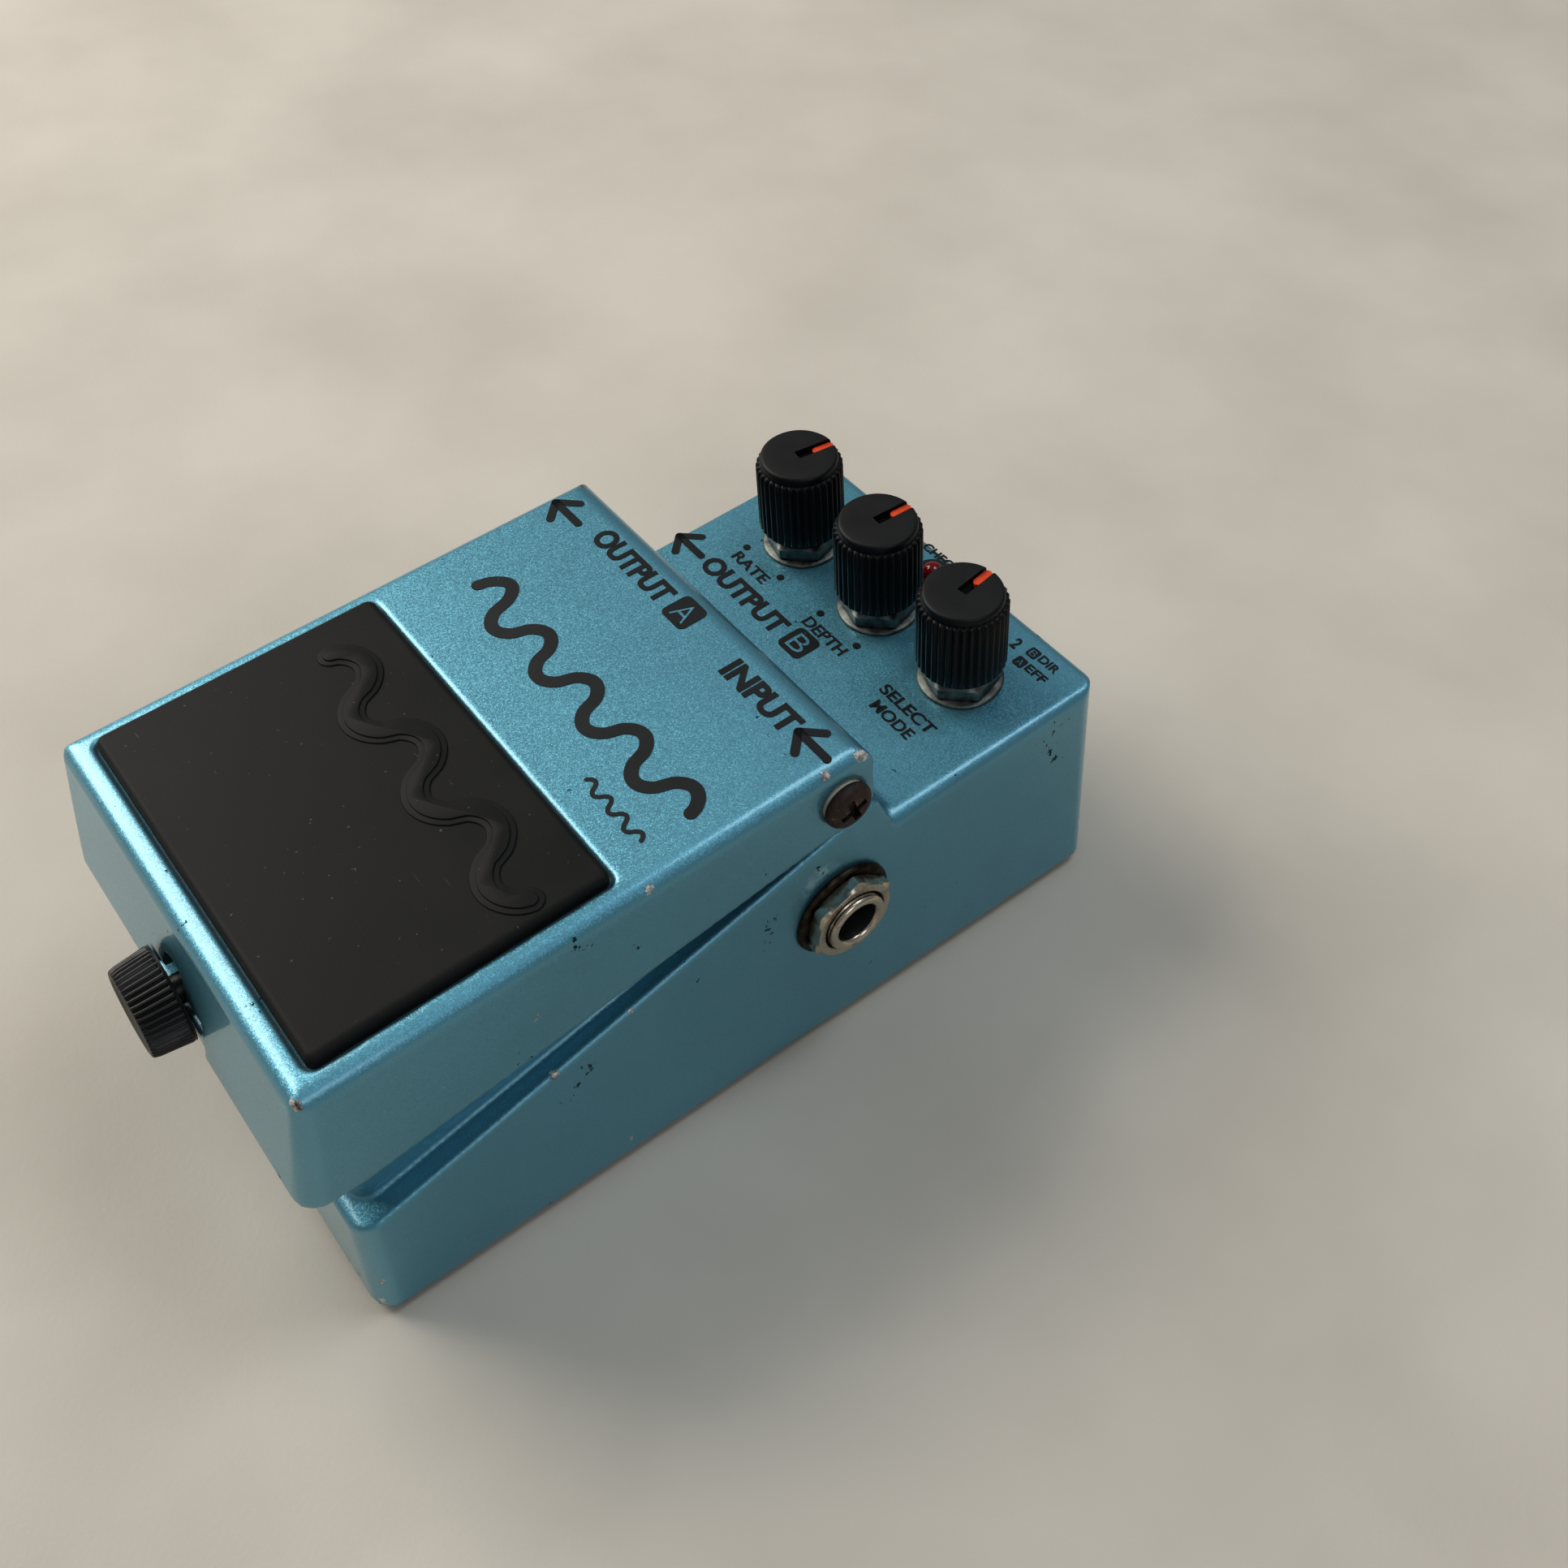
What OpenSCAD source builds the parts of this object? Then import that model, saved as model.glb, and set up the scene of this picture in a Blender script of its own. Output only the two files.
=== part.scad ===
// Compact guitar effects pedal: die-cast case, hinged foot treadle over a battery tray,
// three control knobs, side jack sockets and a front thumbscrew.
// Millimetres, +Z up, +Y towards the knobs, origin on the ground under the middle.

/* [Case] */
// width of the case at its bottom edge
body_w = 70; // [66:1:76]
// length of the case from front wall to rear wall
body_len = 126.3; // [124:0.1:130]
// inward lean of the case sides, rise over run
side_draft = 0.052; // [0.02:0.002:0.06]
// thickness of the die-cast walls
wall = 2.2; // [1.8:0.1:2.6]
// height of the side ledges at the front
ledge_front_z = 20; // [18:0.5:22]
// height of the side ledges beside the hinge
ledge_rear_z = 42.7; // [41:0.1:43]
// height of the front edge of the control panel
panel_z = 36.5; // [35:0.5:38]
// backward rise of the control panel in degrees
panel_tilt = 3; // [2:0.5:4]
// height of the battery deck under the treadle
deck_z = 44.5; // [43.5:0.5:45]

/* [Treadle] */
// width of the treadle at its top edge
treadle_w = 68.2; // [66:0.2:69]
// height of the treadle's front top edge
treadle_front_z = 52.65; // [52:0.05:54]
// backward rise of the treadle top in degrees
treadle_tilt = 2.5; // [2:0.1:3]
// width of the rubber foot pad
pad_w = 60.8; // [56:0.2:61]
// length of the rubber foot pad
pad_len = 40.6; // [36:0.2:42]
// how far the pad stands above the treadle
pad_rise = 1.4; // [0.8:0.1:2]

/* [Controls] */
// distance between neighbouring knobs
knob_pitch = 18.9; // [17.5:0.1:20]
// diameter of a knob over its ribs
knob_d = 13.5; // [12:0.1:14]
// height of a knob
knob_h = 14; // [12:0.5:15]
// angle of the first pointer, clockwise from straight back
pointer_1_turn = 10; // [-140:1:140]
// angle of the second pointer, clockwise from straight back
pointer_2_turn = 4; // [-140:1:140]
// angle of the third pointer, clockwise from straight back
pointer_3_turn = -7; // [-30:1:30]
// largest diameter of the thumbscrew head
thumb_d = 14; // [12:0.1:14]
// radius of the thumbscrew's shaft
thumb_shaft_r = 2; // [1.8:0.05:2.1]
// radius of the bore of a jack socket
jack_r = 3.25; // [3.2:0.01:3.4]

/* [Show] */
// sub-part to draw, or "all"

/* [Hidden] */
$fn = 48;
half_w = body_w / 2;
y_off = -58.15;
rubber_t = 1.6;
plate_t = 1;
plate_top = rubber_t + plate_t;
hinge_y = 75.5;
hinge_z = 49;
panel_y = 85.2;
knob_y = 109.8;
thumb_z = 38;
jack_y = 76;
jack_b_y = 95;
jack_z = 25.4;
spring_y = 17.5;
switch_x = 19;
switch_y = 15;
board_z = 7.5;
board_t = 1.6;
tray_y0 = 27.6;
tray_y1 = 57.4;
deck_w = 30.2;
post_at = [[28.5, 6.6], [-28.5, 6.6], [28.5, 118.6], [-28.5, 118.6]];
board_post_at = [[24, 31], [-24, 31], [24, 54], [-24, 54]];
jacks = [[1, jack_y], [-1, jack_y], [-1, jack_b_y]];
front_corner_r = 3.6;
rear_corner_r = 4.8;
panel_edge_r = 2.1;
ledge_edge_r = 0.6;
collar_r = 2.6;
pad_corner_r = 1;
pointer_slot = 1.4;
pointer_turns = [pointer_1_turn, pointer_2_turn, pointer_3_turn];
slot_r = 2.95;
slot_top = 43.4;
pocket_r = 7.4;
pocket_y = spring_y - 0.6;
wire_pass = [-25.6, 42];
ledge_slope = (ledge_rear_z - ledge_front_z) / 83;
panel_slope = tan(panel_tilt);

paint = "#4f93a8";
black = "#1d1e1f";
steel = "#a9a8a2";
nickel = "#8d857a";
brass = "#b08d4c";
board_green = "#3c6b48";

// ---------- helpers ----------
function side_x(z) = half_w - (z - rubber_t) * side_draft;
function ledge_at(y) = ledge_front_z + ledge_slope * y;
function panel_at(y) = panel_z + panel_slope * (y - panel_y);
function treadle_top(y) = treadle_front_z + tan(treadle_tilt) * (y + 2.3);
function arc(c, r, a0, a1, n = 6) =
  [for (i = [0 : n]) c + r * [cos(a0 + (a1 - a0) * i / n), sin(a0 + (a1 - a0) * i / n)]];
function ribbed(r, depth, n) =
  [for (i = [0 : 2 * n - 1]) (r - (i % 2) * depth) * [cos(180 * i / n), sin(180 * i / n)]];

// puts a piece drawn from the front wall of the case into the part's own frame
module seat() {
  translate([0, y_off, 0]) children();
}

// draws a side view (Y, Z) and stretches it across the width
module across(w) {
  translate([-w / 2, 0, 0]) rotate([90, 0, 90]) linear_extrude(w) children();
}

// draws a front view (X, Z) and stretches it from y0 to y1
module along(y0, y1) {
  translate([0, y1, 0]) rotate([90, 0, 0]) linear_extrude(y1 - y0) children();
}

// waste removed to round the straight edge from p to q
module edge_waste(p, q, r, roll = 0) {
  d = q - p;
  n = norm(d);
  translate(p) rotate([0, acos(d[2] / n), atan2(d[1], d[0])]) rotate([0, 0, roll])
    translate([0, 0, -6]) difference() {
      translate([-2, -2, 0]) cube([r + 2, r + 2, n + 12]);
      translate([r, r, -1]) cylinder(r = r, h = n + 14);
    }
}

module both_sides() {
  children();
  mirror([1, 0, 0]) children();
}

module slab(x, y, h, r) {
  linear_extrude(h) rounded(x, y, r);
}

module rounded(x, y, r) {
  square([x - 2 * r, y], center = true);
  square([x, y - 2 * r], center = true);
  for (i = [-1, 1], j = [-1, 1])
    translate([i * (x / 2 - r), j * (y / 2 - r)]) circle(r);
}

// frame of the control panel at x, its local Z square to the panel
module on_panel(x, y = knob_y) {
  translate([x, y, panel_at(y)]) rotate([panel_tilt, 0, 0]) children();
}

// frame of a jack: local +Z points out through the side wall
module on_side(side, y, z = jack_z) {
  translate([0, y, z]) rotate([0, side * 90, 0]) children();
}

module tube(r, bore, h) {
  difference() {
    cylinder(r = r, h = h);
    translate([0, 0, -1]) cylinder(r = bore, h = h + 2);
  }
}

module wire(points, r) {
  for (i = [0 : len(points) - 2]) {
    d = points[i + 1] - points[i];
    translate(points[i]) rotate([0, acos(d[2] / norm(d)), atan2(d[1], d[0])])
      cylinder(r = r, h = norm(d), $fn = 16);
    translate(points[i + 1]) sphere(1.08 * r, $fn = 16);
  }
}

// ---------- case ----------
module case_side_view() {
  polygon(concat(
    [[0, rubber_t], [0.3, ledge_front_z - 0.1], [0.5, ledge_at(0.5)],
     [79.5, ledge_at(79.5)]],
    arc([81.2, ledge_at(81.2) - 1.4], 2, 95, 5),
    arc([87, panel_at(87) + 3], 3, 185, 267),
    [[body_len - 1, panel_at(body_len - 1)], [body_len, rubber_t]]));
}

module case_hollow_view() {
  polygon([[wall, -1], [wall + 0.3, ledge_at(wall) - wall - 0.1],
    [79, ledge_at(79) - wall - 0.1], [86, panel_at(86) - wall],
    [body_len - wall - 1, panel_at(body_len) - wall], [body_len - wall, -1]]);
}

module case_front_view(inset) {
  polygon([[-half_w + inset, -1], [half_w - inset, -1],
    [side_x(60) - inset, 60], [-side_x(60) + inset, 60]]);
}

module case_block() {
  intersection() {
    across(80) case_side_view();
    along(-5, 140) case_front_view(0);
  }
}

module case_edges() {
  rr = [side_x(panel_at(125)), body_len - 1, panel_at(body_len - 1)];
  pf = [side_x(panel_z), 86, panel_at(86)];
  both_sides() {
    edge_waste([half_w, 0, rubber_t], [side_x(ledge_front_z), 0.3, ledge_front_z], front_corner_r, -73);
    edge_waste([half_w, body_len, rubber_t], rr, rear_corner_r, -27);
    translate([0, 6, 6 * panel_slope]) edge_waste(pf - [0, 1, 0], rr - [0, 6, 0], panel_edge_r);
    edge_waste([side_x(ledge_front_z), 6, ledge_at(6)],
      [side_x(ledge_rear_z - 2), 70, ledge_at(70)], ledge_edge_r);
  }
  edge_waste([40, rr[1], rr[2]], [-40, rr[1], rr[2]], panel_edge_r);
  edge_waste([-40, 0.35, ledge_front_z], [40, 0.35, ledge_front_z], ledge_edge_r);
}

module deck_block() {
  translate([0, 36.7, 15]) slab(2 * deck_w, 68.6, deck_z - 15, 2.5);
  translate([0, hinge_y, hinge_z]) rotate([0, 90, 0]) cylinder(r = 4.2, h = 62.6, center = true);
  translate([-31.3, hinge_y - 2.6, 36]) cube([62.6, 5.2, hinge_z - 36]);
}

module chassis() {
  color(paint) seat() difference() {
    union() {
      difference() {
        union() {
          difference() {
            case_block();
            case_edges();
          }
          deck_block();
        }
        intersection() {
          across(80) case_hollow_view();
          along(-5, 140) case_front_view(wall);
        }
        translate([0, 36.7, 10]) slab(2 * deck_w - 3.6, 65, deck_z - 12, 1.5);
        translate([0, body_len / 2, rubber_t - 1])
          slab(body_w - 2.4, body_len - 2.4, 1 + plate_t + 0.05, 3);
      }
      translate([-deck_w, tray_y0 - 1.8, 23.5])
        cube([2 * deck_w, tray_y1 - tray_y0 + 3.6, deck_z - 23.5]);
      translate([0, pocket_y, 32]) cylinder(r = pocket_r + 1.4, h = deck_z - 32);
      intersection() {
        for (p = post_at)
          translate([p[0], p[1], plate_top + 0.1]) cylinder(r = 3.3, h = 34);
        across(58) offset_free_roof();
      }
      for (p = board_post_at)
        translate([p[0], p[1], board_z + board_t + 0.05])
          cylinder(r = 2.6, h = 23.6 - board_z - board_t);
      translate([0, 2.5, thumb_z]) rotate([-90, 0, 0]) cylinder(r = 7.4, h = 5.4);
      // lug that stands in the treadle's notch, under the thumbscrew
      across(thumb_d) polygon([[-4.1, 32.1], [-4, 36.4], [3, 36.4], [3, 32.1]]);
    }
    // battery tray
    translate([-28.4, tray_y0, 25.3]) cube([56.8, tray_y1 - tray_y0, 30]);
    // spring pocket, long enough for the spring to swing out with the treadle, and switch hole
    translate([0, pocket_y, 34]) cylinder(r = pocket_r, h = 20);
    translate([switch_x, switch_y, 30]) cylinder(r = 3.4, h = 20);
    // wire pass from the tray to the main board
    translate([wire_pass[0], wire_pass[1], 20]) cylinder(r = 2, h = 10);
    // thumbscrew bush
    translate([0, 0, thumb_z]) rotate([-90, 0, 0]) cylinder(r = 4.4, h = 8.75);
    translate([0, -6, thumb_z]) rotate([-90, 0, 0]) cylinder(r = slot_r, h = 8);
    // hinge screw threads
    both_sides() translate([20, hinge_y, hinge_z]) rotate([0, 90, 0]) cylinder(r = 2, h = 20);
    // jack holes with flat seats
    for (j = jacks) on_side(j[0], j[1]) {
      translate([0, 0, 24]) cylinder(r = 4.85, h = 16);
      translate([0, 0, 33.6]) cylinder(r = 8.4, h = 8);
    }
    // holes for the controls, the lamp and the supply inlet
    for (i = [-1 : 1]) on_panel(i * knob_pitch) translate([0, 0, -8]) cylinder(r = 3.6, h = 16);
    on_panel(0, 120.6) translate([0, 0, -8]) cylinder(r = 2.5, h = 16);
    translate([0, body_len - 6, 18]) rotate([-90, 0, 0]) cylinder(r = 4.1, h = 10);
    // base screw threads
    for (p = post_at) translate([p[0], p[1], 2]) cylinder(r = 1.5, h = 9);
    for (p = board_post_at) translate([p[0], p[1], 8]) cylinder(r = 1.2, h = 9);
  }
}

// space under the case roof that the screw posts may fill
module offset_free_roof() {
  polygon([[2, 2], [2, 19], [12, 21], [60, 21], [100, 35.5], [125, 36.8], [125, 2]]);
}

module base_plate() {
  color(steel) seat() difference() {
    translate([0, body_len / 2, rubber_t]) slab(body_w - 2.8, body_len - 2.8, plate_t, 2.8);
    for (p = post_at) translate([p[0], p[1], 0]) cylinder(r = 1.7, h = 6);
    for (i = [-1, 1], j = [0 : 2])
      translate([i * 6, 30 + 6 * j, 1]) slab(8, 1.6, 4, 0.6);
  }
}

module base_rubber() {
  color(black) seat() difference() {
    translate([0, body_len / 2, 0]) slab(body_w - 5, body_len - 5, rubber_t, 3);
    for (p = post_at) translate([p[0], p[1], -1]) cylinder(r = 3.5, h = 4);
    for (j = [0 : 8], i = [-3 : 3])
      translate([i * 8, 14 + j * 12, -1]) cylinder(r = 1.2, h = 1.5, $fn = 16);
  }
}

module base_screws() {
  color(steel) seat() for (p = post_at) translate([p[0], p[1], 0.3]) difference() {
    union() {
      cylinder(r = 2.8, h = 1.3);
      cylinder(r = 1.5, h = 9.4);
    }
    for (a = [0, 90]) rotate([0, 0, a]) translate([-1.6, -0.3, -1]) cube([3.2, 0.6, 1.8]);
  }
}

module thumb_bush() {
  color(brass) seat() translate([0, 2.1, thumb_z]) rotate([-90, 0, 0])
    tube(4.4, thumb_shaft_r + 0.05, 6.6);
}

// ---------- circuit boards and parts ----------
module main_board() {
  color(board_green) seat() difference() {
    translate([-30, 11, board_z]) cube([60, 100, board_t]);
    for (p = board_post_at) translate([p[0], p[1], 0]) cylinder(r = 1.25, h = 20);
    translate([-30.1, 50, board_z - 1]) cube([2.1, 12, 4]);
  }
}

module insulating_sheet() {
  color("#3a3b3d") seat() translate([0, 61, plate_top + 0.3]) slab(54, 100, 0.4, 3);
}

module board_screws() {
  color(steel) seat() for (p = board_post_at) translate([p[0], p[1], board_z]) difference() {
    union() {
      translate([0, 0, -1.6]) cylinder(r = 2.4, h = 1.6);
      cylinder(r = 1.2, h = 8);
    }
    for (a = [0, 90]) rotate([0, 0, a]) translate([-1.3, -0.25, -2]) cube([2.6, 0.5, 1.2]);
  }
}

module chip() {
  translate([-5, -3.2, 0.6]) cube([10, 6.4, 3.2]);
  for (i = [-1.5 : 1 : 1.5], s = [-1, 1])
    translate([i * 2.54 - 0.3, s * 3.6 - 0.25, 0]) cube([0.6, 0.5, 2.6]);
}

module chips() {
  color(black) seat() for (x = [-13, 2, 16], y = [40, 47.5])
    translate([x, y, board_z + board_t]) chip();
}

module electrolytic_capacitors() {
  color("#27406b") seat() for (i = [0 : 5])
    translate([-17 + 8 * i, 16.5 + 5 * (i % 2), board_z + board_t])
      cylinder(r = 2.6 + 0.5 * (i % 2), h = 10 + (i % 3));
}

module film_capacitors() {
  color("#8e3b2b") seat() for (i = [0 : 5])
    translate([-22.5 + 9 * i, 61, board_z + board_t]) cube([7, 2.8, 5.5]);
}

module resistors() {
  color("#c8ab7d") seat() for (i = [0 : 7], j = [0, 1])
    translate([-21 + 6 * i, 82 + 20 * j, board_z + board_t + 1.2]) rotate([-90, 0, 0]) {
      cylinder(r = 1.1, h = 5.6, $fn = 24);
      translate([0, 0, -1.5]) cylinder(r = 0.3, h = 8.6, $fn = 16);
    }
}

module trimmers() {
  color("#2e5aa0") seat() for (x = [-12, 12]) translate([x, 93, board_z + board_t]) difference() {
    union() {
      translate([-3.3, -3.3, 0]) cube([6.6, 6.6, 3]);
      cylinder(r = 2.6, h = 4);
    }
    translate([-2, -0.3, 3.4]) cube([4, 0.6, 2]);
  }
}

module control_board() {
  color(board_green) seat() on_panel(0) translate([-24.5, -6.2, -13.6]) difference() {
    cube([49, 13.4, board_t]);
    translate([24.5, 6.7, -1]) cylinder(r = 1.4, h = 4);
  }
}

module board_wires() {
  t = board_z + board_t;
  color("#8f9296") seat() translate([16, 0, 0]) across(18) polygon([[109.9, t], [110.7, t],
    [110.7, 12], [112.2, 17], [110.7, 22], [110.7, 24.05], [109.9, 24.05], [109.9, 22.2],
    [111.4, 17], [109.9, 11.8]]);
}

// ---------- jacks and supply inlet ----------
module jack_housings() {
  color(black) seat() for (j = jacks) on_side(j[0], j[1]) difference() {
    translate([-7.7, -7.7, 11.6]) cube([15.4, 15.4, 19.3]);
    translate([0, 0, 14]) cylinder(r = 3.5, h = 20);
    for (s = [-1, 1]) translate([-2, s * 5.2 - 1.2, 14]) cube([4, 2.4, 13]);
  }
}

module jack_bushing(side, y) {
  seat() on_side(side, y) {
    translate([0, 0, 30.95]) tube(4.75, jack_r, 6.65);
  }
}

module input_jack_bushing() {
  color(nickel) jack_bushing(1, jack_y);
}

module output_a_bushing() {
  color(nickel) jack_bushing(-1, jack_y);
}

module output_b_bushing() {
  color(nickel) jack_bushing(-1, jack_b_y);
}

module jack_washers() {
  color(steel) seat() for (j = jacks) on_side(j[0], j[1])
    translate([0, 0, 33.65]) tube(7.9, 4.85, 0.7);
}

module jack_nuts() {
  color(nickel) seat() for (j = jacks) on_side(j[0], j[1]) translate([0, 0, 34.4])
    difference() {
      intersection() {
        cylinder(r = 7.35, h = 2.2, $fn = 6);
        cylinder(r = 6.95, h = 2.2);
      }
      translate([0, 0, -1]) cylinder(r = 4.8, h = 5);
    }
}

module jack_terminals() {
  color(brass) seat() for (j = jacks) on_side(j[0], j[1])
    for (s = [-1, 1], t = [0 : 1])
      translate([j[0] < 0 ? -11.15 : 7.75, s * 4 - 1, 14.5 + 8 * t])
        cube([3.4, 2, 0.5]);
}

module dc_inlet() {
  color(black) seat() translate([0, 0, 18]) rotate([-90, 0, 0]) difference() {
    union() {
      translate([-4.5, -5.5, 110.5]) cube([9, 11, 12.9]);
      translate([0, 0, 123]) cylinder(r = 3.95, h = 2.6);
    }
    translate([0, 0, 114]) cylinder(r = 2.85, h = 14);
    translate([0, 0, 110]) cylinder(r = 1.05, h = 6);
  }
}

module dc_inlet_pin() {
  color(nickel) seat() translate([0, 111.5, 18]) rotate([-90, 0, 0]) {
    cylinder(r = 1, h = 12);
    translate([0, 0, 12]) sphere(1);
  }
}

// ---------- controls ----------
module pot_cases() {
  color(steel) seat() for (i = [-1 : 1]) on_panel(i * knob_pitch) difference() {
    union() {
      translate([0, 0, -11.7]) cylinder(r = 5.9, h = 9.4);
      translate([0, 0, -2.35]) cylinder(r = 3.5, h = 6.4);
    }
    translate([0, 0, -9]) cylinder(r = 3.05, h = 16);
  }
}

module pot_washers() {
  color(steel) seat() for (i = [-1 : 1]) on_panel(i * knob_pitch)
    translate([0, 0, 0.03]) tube(6.5, 3.55, 0.5);
}

module pot_nuts() {
  color(nickel) seat() for (i = [-1 : 1]) on_panel(i * knob_pitch) translate([0, 0, 0.56])
    difference() {
      intersection() {
        rotate([0, 0, 15]) cylinder(r = 6.3, h = 2.4, $fn = 6);
        cylinder(r = 5.95, h = 2.4);
      }
      translate([0, 0, -1]) cylinder(r = 3.55, h = 5);
    }
}

module pot_shaft(i) {
  seat() on_panel(i * knob_pitch) translate([0, 0, -8.6]) cylinder(r = 3, h = 23);
}

module pot_shaft_1() {
  color(nickel) pot_shaft(-1);
}

module pot_shaft_2() {
  color(nickel) pot_shaft(0);
}

module pot_shaft_3() {
  color(nickel) pot_shaft(1);
}

module knob(i) {
  h = knob_h;
  r = knob_d / 2;
  seat() on_panel(i * knob_pitch) translate([0, 0, 4.2]) difference() {
    union() {
      cylinder(r = r - 0.6, h = 1.2);
      translate([0, 0, 0.7]) linear_extrude(h - 2.3) polygon(ribbed(r, 0.42, 30));
      translate([0, 0, h - 2]) cylinder(r1 = r - 0.5, r2 = r - 1, h = 1.5);
      translate([0, 0, h - 1]) cylinder(r = r - 1.2, h = 1);
    }
    translate([0, 0, -1]) cylinder(r = 3.02, h = 12.2);
    translate([0, 0, -1]) cylinder(r = 4.6, h = 1.6);
    rotate([0, 0, -pointer_turns[i + 1]]) translate([-0.95, -0.4, h - pointer_slot])
      cube([1.9, r + 1, 2]);
  }
}

module knob_1() {
  color(black) knob(-1);
}

module knob_2() {
  color(black) knob(0);
}

module knob_3() {
  color(black) knob(1);
}

module knob_pointer(i) {
  r = knob_d / 2;
  seat() on_panel(i * knob_pitch) translate([0, 0, 4.2 + knob_h - pointer_slot])
    rotate([0, 0, -pointer_turns[i + 1]]) translate([-0.7, 2.4, 0]) cube([1.4, r - 3.2, 0.8]);
}

module knob_pointer_1() {
  color("#d8552e") knob_pointer(-1);
}

module knob_pointer_2() {
  color("#d8552e") knob_pointer(0);
}

module knob_pointer_3() {
  color("#d8552e") knob_pointer(1);
}

module led() {
  color("#7a1512") seat() on_panel(0, 120.6) {
    translate([0, 0, -4.6]) cylinder(r = 1.8, h = 4.8);
    translate([0, 0, 0.2]) sphere(1.8);
    translate([0, 0, -5.2]) cylinder(r = 2.1, h = 0.7);
    for (s = [-1, 1]) translate([s * 1.27, 0, -7.5]) cylinder(r = 0.25, h = 3, $fn = 16);
  }
}

module led_collar() {
  color(black) seat() on_panel(0, 120.6) {
    translate([0, 0, -4.4]) tube(2.45, 1.85, 4.5);
    translate([0, 0, 0.05]) tube(2.9, 1.85, 0.3);
  }
}

// ---------- foot switch, spring and battery ----------
module switch_case() {
  color(black) seat() translate([switch_x, switch_y, 0]) difference() {
    union() {
      translate([-5.6, -5.6, 32]) cube([11.2, 11.2, 9.9]);
      translate([-4.6, -4.6, 31.4]) cube([9.2, 9.2, 1]);
      cylinder_at(3.3, 41, 2.6);
    }
    cylinder_at(2.55, 34, 20);
  }
}

module cylinder_at(r, z, h) {
  translate([0, 0, z]) cylinder(r = r, h = h);
}

module switch_plunger() {
  color("#d8d5c8") seat() translate([switch_x, switch_y, 0]) {
    cylinder_at(2.5, 36.8, 9.2);
    translate([0, 0, 46]) cylinder(r1 = 2.5, r2 = 1.7, h = 0.6);
  }
}

module return_spring() {
  turns = 5;
  steps = 18;
  r = 5;
  z0 = 34.6;
  rise = 15.4;
  color(steel) seat() translate([0, spring_y, 0]) {
    for (i = [0 : turns * steps - 1]) {
      a = 360 * i / steps;
      p = [r * cos(a), r * sin(a), z0 + rise * i / (turns * steps)];
      b = 360 * (i + 1) / steps;
      q = [r * cos(b), r * sin(b), z0 + rise * (i + 1) / (turns * steps)];
      d = q - p;
      translate(p) rotate([0, acos(d[2] / norm(d)), atan2(d[1], d[0])])
        cylinder(r = 0.6, h = norm(d) + 0.02, $fn = 6);
    }
    translate([0, 0, 34.05]) tube(5.5, 4.5, 0.9);
    translate([0, 0, 49.7]) tube(5.5, 4.5, 0.8);
  }
}

module battery() {
  color("#3a3d42") seat() translate([-20.3, 0, 0]) {
    translate([24.25, 42.3, 35.15]) rotate([0, 90, 0])
      translate([0, 0, -24.25]) slab(17.4, 26.4, 48.4, 2.2);
  }
}

module battery_snap() {
  color(black) seat() {
    translate([-23.6, 42.3, 35.15]) rotate([0, 90, 0]) slab(12, 24, 1.6, 3);
    for (s = [-1, 1]) translate([-22.05, 42.3 + s * 6.4, 35.15]) rotate([0, 90, 0])
      cylinder(r = 3.4, h = 1.65);
  }
}

module battery_leads() {
  for (s = [-1, 1]) color(s > 0 ? "#a32a22" : black) seat()
    wire([[-24.3, wire_pass[1] + 2 * s, 33], [wire_pass[0], wire_pass[1] + 0.8 * s, 28],
      [wire_pass[0], wire_pass[1] + 0.8 * s, 14],
      [-21, wire_pass[1] + 0.8 * s, board_z + board_t + 0.75]], 0.6);
}

module battery_foam() {
  color("#55585c") seat() translate([-20, tray_y0 + 1.6, 25.35]) cube([46, 26.6, 1]);
}

// ---------- treadle ----------
module treadle_side_view() {
  translate([0.35, treadle_front_z - 2.28]) circle(2.4);
  polygon(concat(
    [[-2.05, treadle_front_z - 2.4], [-4.7, 32.6], [-4.2, 32.1], [3.3, 32], [74, 43.1]],
    arc([77, 46.6], 3.6, -97, 0),
    arc([77.4, treadle_top(77.4) - 3.1], 3.1, 0, 92),
    [[0.2, treadle_top(0.2)]]));
}

module treadle_hollow_view() {
  polygon([[-2.6, 20], [-0.1, treadle_top(0) - wall - 2], [1.9, treadle_top(1.9) - wall],
    [90, treadle_top(90) - wall], [90, 20]]);
}

// front view square to the treadle top, u from the front edge
module treadle_section(inset) {
  w = treadle_w / 2 - inset;
  r = inset > 0 ? 1.2 : 2.4;
  for (s = [-1, 1]) translate([s * (w - r), -r]) circle(r);
  polygon([[-w + r, 0], [w - r, 0], [w - r, -r], [w, -r], [w + 0.5, -30], [-w - 0.5, -30],
    [-w, -r], [-w + r, -r]]);
}

module on_treadle() {
  translate([0, -2.3, treadle_front_z]) rotate([treadle_tilt, 0, 0]) children();
}

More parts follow.
